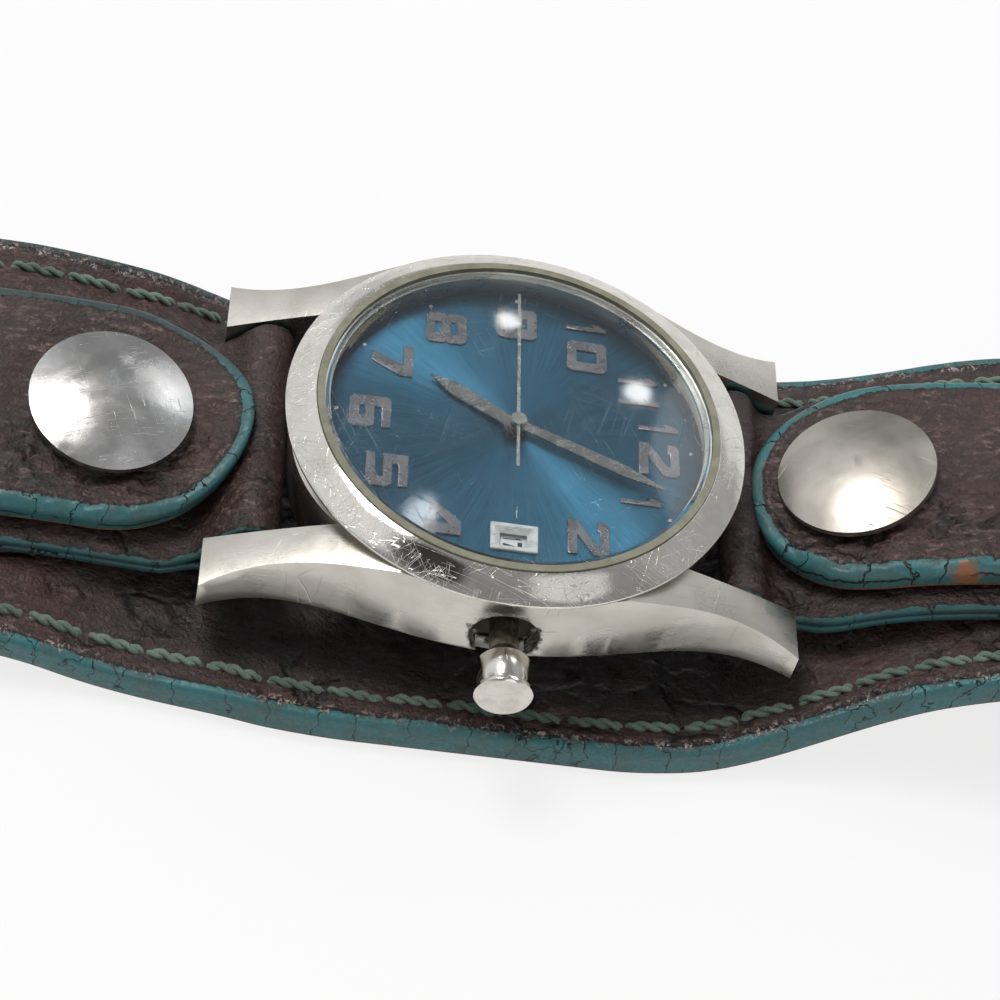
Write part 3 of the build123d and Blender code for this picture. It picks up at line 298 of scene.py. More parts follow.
def hideLayer(p, look, across, fine):
    # the bare leather's colour and height
    # wrinkles: cells drawn out of line by noise, deep where the leather bends, faint elsewhere
    crumple = p.cells(hide["wrinkle"], source=p.squeeze(p.drift(3.4, 3, 0.003), (0.8, 1.3, 1.0)))
    low, high = look["wrinkled"]
    where = p.times(p.span(across, low * mm, high * mm), p.span(p.cloud(6, 4, 0.6), 0.44, 0.6))
    valley = p.times(p.fade(crumple, 0.0, 0.14), where)
    swell = p.times(p.span(crumple, 0.0, 0.6), where)
    drawn = p.cloud(0.55, 5, 0.75, 0.3, source=p.stretch((2.6, 1, 1)))
    pores = p.span(p.cells(hide["grain"]), 0.0, 0.3)
    shade = p.mix(p.span(p.cloud(9, 4, 0.6), 0.36, 0.66), hide["brown"], hide["red"])
    shade = p.mix(p.fade(drawn, 0.34, 0.62, 0.5), shade, hide["deep"])
    # scuffs: wear flecks, partly on the wrinkles' crests as a painted highlight
    patch = p.timesPlus(p.span(crumple, 0.1, 0.5), 0.35, p.span(p.cloud(5, 5, 0.65, 0.4), 0.42, 0.62))
    flecksAndSheen = p.times(p.span(drawn, 0.5, 0.7), patch)
    shade = p.mix(p.times(flecksAndSheen, look["wearAndSheen"], clamp=True), shade, hide["worn"])
    # painted shade: darker in the wrinkles' valleys
    shade = p.mix(p.times(valley, 0.9), shade, hide["deep"])
    shade = p.mix(p.times(p.calc("SUBTRACT", 1.0, pores), 0.35), shade, hide["deep"])
    height = p.timesPlus(valley, -1.3, p.times(swell, 1.2))
    for layer, depth in ((pores, 0.12), (drawn, 0.75), (fine, 0.12)):
        height = p.timesPlus(layer, depth, height)
    return shade, height


def paintLayer(p, look, along, across, fine):
    # the edge paint's colour and its cracks
    tint = p.mix(p.span(p.cloud(3.0, 5, 0.65), 0.36, 0.66), edgePaint["teal"], edgePaint["dull"])
    tint = p.mix(p.span(fine, 0.3, 0.75, 0.0, 0.25), tint, edgePaint["crack"])
    warped = p.drift(1.3, 4, 0.0016, p.squeeze(p.place, (1.0, 0.7, 0.2)))
    crack = p.fade(p.cells(edgePaint["crackEvery"], source=warped), 0.0, look["crack"])
    crack = p.times(crack, p.span(p.cloud(5, 2), 0.38, 0.46))
    if "plies" in look:
        line = p.gapTo(p.wobble(p.field("rise"), p.cloud(3.2, 4, 0.75), 1.5), look["plies"])
        line = p.times(p.fade(line, 0.02, 0.13), p.span(p.cloud(6, 2), 0.42, 0.48))
        crack = p.calc("MAXIMUM", crack, line)
    tint = p.mix(crack, tint, edgePaint["crack"])
    # painted shade: the far edge on the left is darkened, as it lies in shadow
    farShade = p.times(p.span(across, 2 * mm, 9 * mm), p.span(along, 4 * mm, -12 * mm))
    farShade = p.times(farShade, p.span(p.cloud(2.2, 4, 0.7), 0.3, 0.5, 0.45, 0.85))
    return p.mix(farShade, tint, edgePaint["farShade"]), crack


def leatherMaterial(name, look):
    p = Paint(name)
    along, across, _ = p.parts(p.place)
    fine = p.cloud(0.3, 3, 0.7)
    shade, height = hideLayer(p, look, across, fine)
    tint, crack = paintLayer(p, look, along, across, fine)
    # the paint lies on everything nearer the rim than it reaches, with a broken border
    border = p.wobble(p.field("rim"), p.cloud(1.5, 6, 0.8), 1.0)
    painted = p.fade(border, look["paint"] - edgePaint["blur"], look["paint"] + edgePaint["blur"])
    color = p.mix(painted, shade, tint)
    # dark line of worn dye just inside the paint, with pale flakes in it
    seam = p.gapTo(border, look["paint"] + edgePaint["seamIn"])
    color = p.mix(p.fade(seam, 0.04, 0.2, 0.8), color, hide["deep"])
    flake = p.times(p.fade(seam, 0.2, 0.75), p.span(p.cloud(0.5, 4, 0.75, 0.6), 0.5, 0.58))
    flake = p.times(flake, p.span(p.cloud(6, 3, 0.6), 0.36, 0.54, 0.0, look["chalk"]))
    color = p.mix(flake, color, p.mix(p.span(fine, 0.35, 0.65), edgePaint["chalk"], hide["worn"]))
    if "bare" in look:
        spot, reach, tan = look["bare"]
        away = p.wobble(p.against("DISTANCE", [c * mm for c in spot]), p.cloud(0.9, 4, 0.75), 3 * mm)
        color = p.mix(p.fade(away, reach * 0.4 * mm, reach * mm, 0.9), color, tan)
    # painted shade: the whole piece darkened, for pieces that lie in shadow
    if "shade" in look:
        color = p.mix(1 - look["shade"], color, hide["deep"])
    if "dark" in look:
        # painted shadow, near black, where the head lies over it
        amount, length, width = look["dark"]
        under = p.fade(p.calc("ABSOLUTE", along), length * mm, (length + 14) * mm, amount)
        under = p.times(under, p.fade(p.calc("ABSOLUTE", across), width * mm, (width + 3.5) * mm))
        color = p.mix(under, color, hide["deep"])
    paintHeight = p.timesPlus(crack, -1.6, p.timesPlus(p.cloud(0.8, 3), 0.35, 0.5))
    bare = p.times(height, p.calc("SUBTRACT", 1.0, painted))
    relief = p.timesPlus(flake, 0.5, p.timesPlus(paintHeight, painted, bare))
    rough = p.timesPlus(painted, 0.02, p.span(fine, 0.3, 0.7, 0.34, 0.52))
    return p.set(color=color, rough=rough, specular=0.5, normal=p.bump(relief, 0.28, 0.95))


def liningMaterial():
    p = Paint("liningLeather")
    tone = p.mix(p.cloud(4, 5, 0.6), (0.16, 0.085, 0.05), (0.26, 0.16, 0.1))
    tone = p.mix(p.fade(p.cells(0.5), 0.0, 0.2, 0.5), tone, (0.07, 0.035, 0.02))
    grain = p.calc("ADD", p.span(p.cells(0.6), 0, 0.3), p.cloud(0.4, 3, 0.7))
    return p.set(color=tone, rough=0.7, specular=0.3, normal=p.bump(grain, 0.08, 0.7))


def threadMaterial():
    p = Paint("waxedThread")
    tone = p.mix(p.span(p.cloud(5, 3), 0.35, 0.65), (0.21, 0.28, 0.22), (0.12, 0.17, 0.14))
    fibre = p.cloud(0.1, 2, 0.6, 0.5)
    tone = p.mix(p.fade(fibre, 0.3, 0.6, 0.6), tone, (0.02, 0.05, 0.035))
    return p.set(color=tone, rough=0.75, specular=0.25, sheen=0.2, normal=p.bump(fibre, 0.06, 0.8))


# the cuff's lengthwise shape: heights along X, in millimetres, the same as the frame's leather solids

cuffShape = {
    "baseThick": 2.8,
    "loopThick": 1.8,
    "riseFrom": 16.0,
    "softGap": 0.3,
    "sewnGap": 0.1,
    "twist": 8.2,
    "twistFrom": 18.0,
    "twistFull": 32.0,
    "untwistFrom": 46.0,
    "untwistTo": 66.0,
    "curlLength": 7.5,
    "tabRoot": 44.0,
    "loopEnd": 50.0,
    "halfMiddle": 20.9,
    "taperFrom": 9.5,
    "strapDrop": 6.0,
    "strapMargin": 2.8,
}
rightSide = {
    "rise": 10.8, "crest": 46.0, "fallFrom": 50.0, "fallTo": 80.0, "end": 82.0, "half": 16.8, "taperTo": 36.0,
    "float": 2.3, "floatFrom": 28.0, "floatTo": 42.0, "curl": 0.8, "nose": 21.2, "strapLift": 1.3,
}
leftSide = {
    "rise": 4.6, "crest": 40.0, "fallFrom": 46.0, "fallTo": 72.0, "end": 74.0, "half": 18.2, "taperTo": 38.0,
    "float": 1.6, "floatFrom": 26.0, "floatTo": 40.0, "curl": 3.4, "nose": 21.5, "strapLift": 0.05,
}


def sideAt(x):
    return rightSide if x > 0 else leftSide


def ease(t):
    t = min(max(t, 0.0), 1.0)
    return t * t * (3 - 2 * t)


def wingHeight(x):
    s, reach = sideAt(x), abs(x)
    up = ease((reach - cuffShape["riseFrom"]) / (s["crest"] - cuffShape["riseFrom"]))
    down = ease((reach - s["fallFrom"]) / (s["fallTo"] - s["fallFrom"]))
    return s["rise"] * (up - down)


def slopeOf(height, x, step=0.02):
    return (height(x + step) - height(x - step)) / (2 * step)


def twistAt(x):
    if x > 0:
        return 0.0
    c = cuffShape
    on = ease((-x - c["twistFrom"]) / (c["twistFull"] - c["twistFrom"]))
    off = ease((-x - c["untwistFrom"]) / (c["untwistTo"] - c["untwistFrom"]))
    return math.radians(c["twist"]) * (on - off)


def wingTop(x):
    return wingHeight(x) + cuffShape["baseThick"] * math.sqrt(1 + slopeOf(wingHeight, x) ** 2)


def loopHeight(x):
    s = sideAt(x)
    gap = s["float"] * (1 - ease((abs(x) - s["floatFrom"]) / (s["floatTo"] - s["floatFrom"])))
    return wingTop(x) + cuffShape["sewnGap"] + gap


def tabLift(x):
    s = sideAt(x)
    left = max(1 - (abs(x) - s["nose"]) / cuffShape["curlLength"], 0)
    return cuffShape["loopThick"] + cuffShape["softGap"] + s["curl"] * left**2


def strapHeight(x):
    c, s = cuffShape, sideAt(x)
    landing = ease((abs(x) - s["end"] - c["strapMargin"]) / c["strapDrop"])
    lift = c["loopThick"] + c["softGap"] - c["sewnGap"]
    overLoop = lift * (1 - ease((abs(x) - c["loopEnd"]) / c["strapDrop"]))
    return (wingTop(x) + c["sewnGap"] + overLoop) * (1 - landing) + s["strapLift"] * landing


def baseHalf(x):
    c, s = cuffShape, sideAt(x)
    share = ease((abs(x) - c["taperFrom"]) / (s["taperTo"] - c["taperFrom"]))
    return c["halfMiddle"] + (s["half"] - c["halfMiddle"]) * share


def station(height, x, lift=0.0):
    # a place on the leather at x: the point, the way across it and the way up out of it
    tilt, twist = math.atan(slopeOf(height, x)), twistAt(x)
    along = Vector((math.cos(tilt), 0, math.sin(tilt)))
    across = Vector((-math.sin(tilt) * math.sin(twist), math.cos(twist), math.cos(tilt) * math.sin(twist)))
    up = along.cross(across)
    return Vector((x, 0, height(x))) + up * lift, across, up


def spread(start, stop, step):
    count = max(int(round(abs(stop - start) / step)), 1)
    return [start + (stop - start) * i / count for i in range(count + 1)]


# lines run close together where an edge is rounded over: how far in from the rim, and where even ones start
nearRim = (0, 0.05, 0.16, 0.34, 0.6, 0.95, 1.4, 2.0, 2.7)
evenFrom = 3.4
# half of that where an end stays square
squareEnd = 1.7


def softEnds(start, stop, step, startSoft=True, stopSoft=True):
    low, high = min(start, stop), max(start, stop)
    heads = [low + near for near in nearRim] if startSoft else [low, low + squareEnd]
    tails = [high - near for near in reversed(nearRim)] if stopSoft else [high - squareEnd, high]
    return heads + spread(low + evenFrom, high - evenFrom, step) + tails


def clearance(gap, y, half, corner):
    # distance from a point of the outline's inside to its nearest edge, near a rounded end
    a, b = corner - gap, abs(y) - (half - corner)
    if a > 0 and b > 0:
        return corner - math.hypot(a, b)
    return min(gap, half - abs(y))


def roundedFall(d, r):
    # how far a rounded edge of radius r has dropped at a distance d from the rim
    return r - math.sqrt(max(r * r - (r - d) ** 2, 0)) if d < r else 0.0


# leather pieces: closed, rounded at every edge, with rim and rise fields for the paint
# a row is a place, the way across, the way up, half the width, the gap to the end and the end's corner

# gap and corner of a piece without a rounded end
noEnd = (50.0, 0.0)
wallSteps = 3


def ringAround(row, shares, thick, rounds, relief):
    # one closed line round a piece: its top, one edge, its underside and the other edge
    origin, _, _, half, gap, corner = row
    a = corner - gap
    reach = half if a <= 0 else half - corner + math.sqrt(max(corner**2 - a**2, 0))
    upper, lower = [], []
    for share in shares:
        y = share * reach
        d = max(clearance(gap, y, half, corner), 0.0)
        extra = relief(origin.x, y) * min(d / 1.2, 1) if relief else 0.0
        upper.append((y, thick - roundedFall(d, rounds[0]) + extra, d))
        under = roundedFall(d, rounds[1])
        lower.append((y, under, -thick + under if d < rounds[1] else -thick))
    steps = [k / wallSteps for k in range(1, wallSteps)]
    (_, topFirst, _), (yFirst, lowFirst, _) = upper[0], lower[0]
    (_, topLast, _), (yLast, lowLast, _) = upper[-1], lower[-1]
    drop = lowLast - topLast
    ring = upper + [(yLast, topLast + drop * t, drop * t) for t in steps]
    ring += reversed(lower)
    rise = topFirst - lowFirst
    return ring + [(yFirst, lowFirst + rise * t, -rise * (1 - t)) for t in steps]


def sewLeather(name, rows, thick, body, replaced, materials, rounds=(0.4, 0.3), step=0.8, relief=None,
               capped=True):
    widest = max(row[3] for row in rows)
    inset = min(evenFrom, widest * 0.7)
    edges = [widest - near for near in nearRim if near < inset - 0.2]
    middle = spread(widest - inset, inset - widest, step)
    shares = [y / widest for y in edges + middle + [-e for e in reversed(edges)]]
    points, rims, rises = [], [], []
    for row in rows:
        origin, across, up = row[:3]
        for y, h, d in ringAround(row, shares, thick, rounds, relief):
            points.append((origin + across * y + up * h) * mm)
            rims.append(d)
            rises.append(h)
    count = len(shares)
    size = 2 * (count + wallSteps - 1)
    underFrom, underTo = count + wallSteps - 1, size - wallSteps
    faces, kinds = [], []
    for i in range(len(rows) - 1):
        for j in range(size):
            k = (j + 1) % size
            faces.append((i * size + j, (i + 1) * size + j, (i + 1) * size + k, i * size + k))
            kinds.append(1 if underFrom <= j < underTo and len(materials) > 1 else 0)
    for end in (0, len(rows) - 1) if capped else ():
        base = end * size
        for j in range(count - 1):
            face = [base + j, base + j + 1, base + underTo - 1 - j, base + underTo - j]
            if j == 0:
                face += [base + size - wallSteps + 1 + k for k in range(wallSteps - 1)]
            if j == count - 2:
                face[2:2] = [base + count + k for k in range(wallSteps - 1)]
            faces.append(face if end else face[::-1])
            kinds.append(0)
    mesh = bpy.data.meshes.new(name)
    mesh.from_pydata(points, [], faces)
    for material in materials:
        mesh.materials.append(material)
    mesh.polygons.foreach_set("material_index", kinds)
    for fieldName, values in (("rim", rims), ("rise", rises)):
        mesh.attributes.new(fieldName, "FLOAT", "POINT").data.foreach_set("value", values)
    work = bmesh.new()
    work.from_mesh(mesh)
    bmesh.ops.remove_doubles(work, verts=work.verts, dist=1e-7)
    bmesh.ops.recalc_face_normals(work, faces=work.faces)
    work.to_mesh(mesh)
    work.free()
    mesh.shade_smooth()
    return addPiece(name, mesh, body, replaced)


lining = liningMaterial()

# wide base of the cuff

cuffBase = {
    "corner": 8.0, "stitchIn": 2.6, "furrow": 0.28, "furrowWidth": 0.55, "wave": 0.18, "crease": 0.22,
    "step": 0.9,
}


def baseGap(x):
    return min(x + leftSide["end"], rightSide["end"] - x)


def lumpAt(*place):
    return noise.noise(Vector(place))


def creaseAt(*place, width=0.16):
    # 1 in the middle of a crease, 0 away from it
    return max(width - abs(lumpAt(*place)), 0) / width


def baseRelief(x, y):
    b = cuffBase
    edge = clearance(baseGap(x), y, baseHalf(x), b["corner"])
    line = -b["furrow"] * math.exp(-(((edge - b["stitchIn"]) / b["furrowWidth"]) ** 2))
    lump = lumpAt(x * 0.16, y * 0.22, 3.1) * b["wave"]
    return line + lump - b["crease"] * creaseAt(x * 0.3 + 7, y * 0.45, 1.7)


baseRows = []
for x in softEnds(-leftSide["end"], rightSide["end"], cuffBase["step"]):
    baseRows.append((*station(wingHeight, x), baseHalf(x), baseGap(x), cuffBase["corner"]))
baseLeather = leatherMaterial("baseLeather", leatherLooks["base"])
sewLeather("cuffBase", baseRows, cuffShape["baseThick"], "watch", ["cuff_face", "cuff_lining"],
           [baseLeather, lining], rounds=(0.4, 0.35), relief=baseRelief)
print("cuff base sewn")

# tabs that snap down over the loops, each in one piece with its strap beyond the cuff

tabs = {
    "half": 9.9, "thick": 2.5, "rounds": (1.05, 0.7), "capReach": 6.4, "press": 0.4, "crease": -0.6,
    "lump": 0.22, "snapRight": 29.4, "snapLeft": 31.4, "tail": 122.0, "tipLength": 14.0, "neck": 107.0,
    "bendFrom": 40.5, "bendTo": 47.5, "fineTo": 52.0, "fineStep": 0.38, "step": 0.9, "tipHalf": 0.02,
    "creaseTo": 56,
}


def tabRelief(side):
    snap = tabs["snapRight"] if side > 0 else -tabs["snapLeft"]

    def relief(x, y):
        away = math.hypot(x - snap, y)
        dent = -tabs["press"] * math.exp(-(((away - tabs["capReach"]) / 1.3) ** 2))
        # creases run out like rays from under the cap
        spin = math.atan2(y, x - snap)
        near = math.exp(-(((away - 8) / 4.5) ** 2)) * ease((4 - y) / 10)
        rays = lumpAt(math.cos(spin) * 4.5, math.sin(spin) * 4.5, away * 0.15 + side * 5)
        crease = tabs["crease"] * creaseAt(x * 0.42, y * 0.6 + side * 9, 4.2) * ease((3 - y) / 9)
        lump = tabs["lump"] * lumpAt(x * 0.2, y * 0.25, 8.8 + side)
        return dent + 0.7 * rays * near + crease * ease((tabs["creaseTo"] - abs(x)) / 8) + lump

    return relief


def tabRow(side, reach):
    x, root = side * reach, cuffShape["tabRoot"]
    s = sideAt(x)
    low = station(loopHeight, x, tabLift(x))
    if reach < root - 2:
        return low
    over = station(strapHeight, x)
    share = ease((reach - root + 2) / 4)
    return tuple(a.lerp(b, share) for a, b in zip(low, over))


holes = {"first": 86.5, "pitch": 5.5, "count": 6, "radius": 0.9, "through": 8.0}


def punchHoles(piece, v):
    # round holes through the strap, their walls bare like the lining
    work = bmesh.new()
    for i in range(v["count"]):
        origin, _, up = tabRow(-1, v["first"] + i * v["pitch"])
        turn = up.to_track_quat("Z", "Y").to_matrix().to_4x4()
        place = Matrix.Translation((origin + up * tabs["thick"] / 2) * mm) @ turn
        r, depth = v["radius"] * mm, v["through"] * mm
        bmesh.ops.create_cone(work, cap_ends=True, segments=20, radius1=r, radius2=r, depth=depth,
                              matrix=place)
    punch = bpy.data.meshes.new("punch")
    work.to_mesh(punch)
    work.free()
    punch.materials.append(lining)
    cutter = addObject("punch", punch)
    cut = piece.modifiers.new("punch", "BOOLEAN")
    cut.operation = "DIFFERENCE"
    cut.solver = "EXACT"
    cut.object = cutter
    punched = bpy.data.meshes.new_from_object(piece.evaluated_get(bpy.context.evaluated_depsgraph_get()))
    piece.modifiers.clear()
    piece.data = punched
    bpy.data.objects.remove(cutter)


def sewTab(side, name, last, tipped):
    s = sideAt(side)
    fine = softEnds(s["nose"], tabs["fineTo"], tabs["fineStep"], True, False)
    plain = softEnds(tabs["fineTo"], last, tabs["step"], False, tipped)
    rows = []
    for reach in fine[:-1] + plain[1:]:
        half, left = tabs["half"], last - reach
        end = (reach - s["nose"], tabs["half"])
        if tipped and left < tabs["tipLength"]:
            share = (1 - (1 - max(left, 0) / tabs["tipLength"]) ** 2.3) ** 0.8
            half = max(half * share, tabs["tipHalf"])
            end = (max(left, 0) + 0.001, 0.0)
        rows.append((*tabRow(side, reach), half, *end))
    if side < 0:
        rows.reverse()
    leather = leatherMaterial("tabLeather" + name, leatherLooks["tab" + name])
    strap = "buckle_strap" if side > 0 else "hole_strap"
    replaced = ["tab_face_" + name.lower(), "tab_lining_" + name.lower(), strap]
    piece = sewLeather("tabStrap" + name, rows, tabs["thick"], None, replaced, [leather, lining],
                       rounds=tabs["rounds"], step=tabs["fineStep"], relief=tabRelief(side))
    if tipped:
        punchHoles(piece, holes)
    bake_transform(piece)


sewTab(1, "Right", tabs["neck"], False)
sewTab(-1, "Left", tabs["tail"], True)
print("tabs and straps sewn")

# folds: a strip that comes in along a line, goes round a bar and runs back below

sideways = Vector((0, 1, 0))


def curveBetween(start, startWay, end, endWay, pull, count):
    controls = (start, start + startWay * pull, end - endWay * pull, end)
    made = []
    for i in range(1, count):
        t = i / count
        weights = ((1 - t) ** 3, 3 * t * (1 - t) ** 2, 3 * t * t * (1 - t), t**3)
        made.append(sum((c * w for c, w in zip(controls, weights)), Vector()))
    return made


def foldPath(upper, lower, v, side):
    # both lines run toward the bar; angles start on the strip's side of it and go up and over
    def ray(angle):
        turn = math.radians(angle)
        return Vector((side * math.cos(turn), 0, math.sin(turn)))

    leave, land = v["angles"]
    arc = [v["centre"] + ray(angle) * v["wrap"] for angle in spread(leave, land, v["arc"])]
    wayIn, wayOut = (upper[-1] - upper[-2]).normalized(), (lower[-2] - lower[-1]).normalized()
    over = curveBetween(upper[-1], wayIn, arc[0], ray(leave + 90), v["pull"], v["count"])
    under = curveBetween(arc[-1], ray(land + 90), lower[-1], wayOut, v["pull"], v["count"])
    return upper + over + arc + under + lower[::-1]


def foldRows(path, ply, side, acrossAt, halfAt, aside=0.0):
    rows = []
    for i, point in enumerate(path):
        ahead = (path[min(i + 1, len(path) - 1)] - path[max(i - 1, 0)]).normalized()
        across = acrossAt(point.x)
        up = (across.cross(ahead) * side).normalized()
        rows.append((point + sideways * aside - up * ply / 2, across, up, halfAt(point.x), *noEnd))
    return rows


# loop leathers: one strip folded round each spring bar

loops = {
    "ply": 0.88, "barX": 18.9, "barZ": 9.4, "halfIn": 10.7, "halfOut": 11.5,
    "flareFrom": 23.1, "flareLength": 3.0, "join": 25.5, "straightIn": 22, "step": 1.2,
    # each roll's radius, how far out of the bar's middle it sits, and where on the bar it starts and ends
    "Right": {"wrap": 1.32, "aside": 0.0, "angles": (28, 238), "arc": 15, "pull": 2.6, "count": 10},
    "Left": {"wrap": 1.55, "aside": 0.28, "angles": (48, 232), "arc": 15, "pull": 2.6, "count": 10},
}
loopLeather = leatherMaterial("loopLeather", leatherLooks["loop"])


def foldLoop(side, name):
    v, roll = loops, loops[name]
    centre = Vector((side * (v["barX"] + roll["aside"]), 0, v["barZ"] + roll["aside"] / 2))

    def plyLine(lift):
        reaches = spread(cuffShape["loopEnd"], v["join"], v["step"])
        return [station(loopHeight, side * reach, lift)[0] for reach in reaches]

    def acrossAt(x):
        return station(loopHeight, x)[1] if abs(x) > v["straightIn"] else sideways

    def halfAt(x):
        return v["halfIn"] + (v["halfOut"] - v["halfIn"]) * ease((abs(x) - v["flareFrom"]) / v["flareLength"])

    upper, lower = plyLine(cuffShape["loopThick"] - v["ply"] / 2), plyLine(v["ply"] / 2)
    path = foldPath(upper, lower, dict(roll, centre=centre), side)
    rows = foldRows(path, v["ply"], side, acrossAt, halfAt)
    sewLeather("loop" + name, rows, v["ply"], "watch", ["strap_loop_" + name.lower()], [loopLeather],
               step=1.1)


foldLoop(1, "Right")
foldLoop(-1, "Left")
print("loops folded")

# end of the buckle strap: two ears folded round the buckle's bar, with the prong's slot between them

buckleEnd = {
    "centre": Vector((112.0, 0, 2.55)), "ply": 1.0, "wrap": 1.72, "start": 105.6, "straight": 1.5,
    "high": 3.28, "low": 1.82, "slot": 1.65, "angles": (78, 282), "arc": 12, "pull": 1.6, "count": 8,
}
plainLeather = leatherMaterial("strapLeather", leatherLooks["strap"])


def foldEar(side, name):
    b = buckleEnd
    runs, heights = (0, b["straight"]), (b["high"], b["low"])
    upper, lower = ([Vector((b["start"] + run, 0, z)) for run in runs] for z in heights)
    half = (tabs["half"] - b["slot"]) / 2
    rows = foldRows(foldPath(upper, lower, b, -1), b["ply"], -1, lambda x: sideways, lambda x: half,
                    side * (b["slot"] + half))
    sewLeather(name, rows, b["ply"], "watch", [], [plainLeather, lining], rounds=(0.35, 0.25), step=1.0)


foldEar(1, "foldEarFar")
foldEar(-1, "foldEarNear")

# keepers: closed bands with rounded corners

keepers = {
    "length": 5.0, "thick": 1.0, "half": 10.2, "low": 1.0, "high": 6.7, "corner": 1.0,
    "fixedX": 101.0, "freeX": 95.7,
}


def keeperBand(x, name, node, body):
    k = keepers
    middle, r = (k["low"] + k["high"]) / 2, k["corner"]
    halfY, halfZ = k["half"] - r, (k["high"] - k["low"]) / 2 - r
    corners = [Vector((x + k["length"] / 2, sy * halfY, middle + sz * halfZ))
               for sy, sz in ((1, 1), (-1, 1), (-1, -1), (1, -1))]
    line = []
    for i, corner in enumerate(corners):
        turns = [math.radians(angle) for angle in spread(i * 90, i * 90 + 90, 18)]
        ways = [Vector((0, math.cos(turn), math.sin(turn))) for turn in turns]
        line += [(corner + way * r, way) for way in ways]
        # a few rows along each straight
        first, stop = line[-1][0], corners[(i + 1) % 4] + ways[-1] * r
        line += [(first.lerp(stop, t), ways[-1]) for t in (0.2, 0.4, 0.6, 0.8)]
    line.append(line[0])
    rows = [(point, Vector((1, 0, 0)), way, k["length"] / 2, *noEnd) for point, way in line]
    sewLeather(name, rows, k["thick"], body, [node], [plainLeather, lining], rounds=(0.35, 0.2), step=0.7,
               capped=False)


keeperBand(keepers["fixedX"], "fixedKeeperBand", "fixed_keeper", "watch")
keeperBand(keepers["freeX"], "freeKeeperBand", "free_keeper", "free_keeper")
print("folds and keepers made")

# stitches: two waxed plies twisted together, dipping into the leather at each end

thread = {
    "pitch": 4.7, "length": 4.95, "inset": 2.6, "ply": 0.26, "twist": 0.21, "turns": 1.9, "lean": -0.08,
    "lift": 0.16, "dip": 0.75, "sides": 7, "steps": 18, "bendFrom": 22, "step": 0.25,
    "strapFrom": 53.0, "strapTo": (105.0, 106.0),
}


def stitchPath(edge):
    # line of stitches along one long edge of the base and round its corners, just over the leather
    inset, corner = thread["inset"], cuffBase["corner"]
    bends = []
    for s, way in ((leftSide, -1), (rightSide, 1)):
        bend = [headed(angle) * (corner - inset) for angle in spread(thread["bendFrom"], 90, 5)]
        bends.append([(way * (s["end"] - corner + b.x), edge * (s["half"] - corner + b.y)) for b in bend])
    along = spread(corner - leftSide["end"], rightSide["end"] - corner, thread["step"])
    straight = [(x, edge * (baseHalf(x) - inset)) for x in along]
    places = []
    for x, y in bends[0] + straight[1:-1] + bends[1][::-1]:
        origin, across, up = station(wingHeight, x)
        places.append((origin + across * y + up * (cuffShape["baseThick"] + baseRelief(x, y)), up))
    return places


def strapPath(side, y, last):
    places = []
    aside = y * (tabs["half"] - thread["inset"])
    for reach in spread(thread["strapFrom"], last, thread["step"]):
        origin, across, up = tabRow(side, reach)
        lift = tabs["thick"] + tabRelief(side)(side * reach, aside)
        places.append((origin + across * aside + up * lift, up))
    return places


class Trail:
    # a line of places that can be asked for the place at a distance along it

    def __init__(self, places):
        self.places = places
        self.travelled = [0.0]
        for (a, _), (b, _) in zip(places, places[1:]):
            self.travelled.append(self.travelled[-1] + (b - a).length)

    def at(self, distance):
        far = self.travelled
        low, high = 0, len(far) - 1
        while high - low > 1:
            middle = (low + high) // 2
            low, high = (middle, high) if far[middle] <= distance else (low, middle)
        share = (distance - far[low]) / max(far[high] - far[low], 1e-9)
        return self.places[low][0].lerp(self.places[high][0], share), self.places[low][1]


def plyLineAt(trail, start, lean, spin):
    # the middle of one ply: it rises, turns round the other ply and dips in again
    t = thread
    line = []
    for k in range(t["steps"] + 1):
        share = k / t["steps"]
        place, up = trail.at(start + share * t["length"])
        ahead = (trail.at(start + share * t["length"] + 0.05)[0] - place).normalized()
        side = up.cross(ahead).normalized()
        ends = abs(2 * share - 1)
        lift = t["lift"] - (t["lift"] + t["dip"]) * ends**7
        angle = 2 * math.pi * t["turns"] * share + spin
        swing = (side * math.cos(angle) + up * math.sin(angle)) * t["twist"] * (1 - 0.5 * ends**4)
        line.append((place + up * lift + side * lean * (2 * share - 1) + swing, side, up, ends))
    return line


def addTube(line, points, faces):
    # a closed tube along the line, thinner at its ends
    sides, first = thread["sides"], len(points)
    for centre, side, up, ends in line:
        r = thread["ply"] * (1 - 0.25 * ends**6)
        for q in range(sides):
            turn = 2 * math.pi * q / sides
            points.append((centre + (side * math.cos(turn) + up * math.sin(turn)) * r) * mm)
    for k in range(len(line) - 1):
        for q in range(sides):
            a, b = first + k * sides + q, first + k * sides + (q + 1) % sides
            faces.append((a, b, b + sides, a + sides))
    faces.append([first + q for q in reversed(range(sides))])
    faces.append([len(points) - sides + q for q in range(sides)])


def twistThread(name, paths, body):
    t = thread
    points, faces = [], []
    for places in paths:
        trail = Trail(places)
        for i in range(int(trail.travelled[-1] / t["pitch"])):
            start = i * t["pitch"] + 0.3 + 0.25 * lumpAt(i * 1.7, len(places) * 0.1, 2.2)
            lean = t["lean"] + 0.12 * lumpAt(i * 0.9, 5.5, 1.3)
            for ply in range(2):
                addTube(plyLineAt(trail, start, lean, ply * math.pi + i * 0.7), points, faces)
    mesh = bpy.data.meshes.new(name)
    mesh.from_pydata(points, [], faces)
    mesh.materials.append(waxedThread)
    mesh.shade_smooth()
    addPiece(name, mesh, body)


waxedThread = threadMaterial()
twistThread("baseStitches", [stitchPath(-1), stitchPath(1)], "watch")
straps = [strapPath(side, y, last) for side, last in zip((1, -1), thread["strapTo"]) for y in (-1, 1)]
twistThread("strapStitches", straps, "watch")
print("stitches laid")

# metals: worn steel, brass and copper

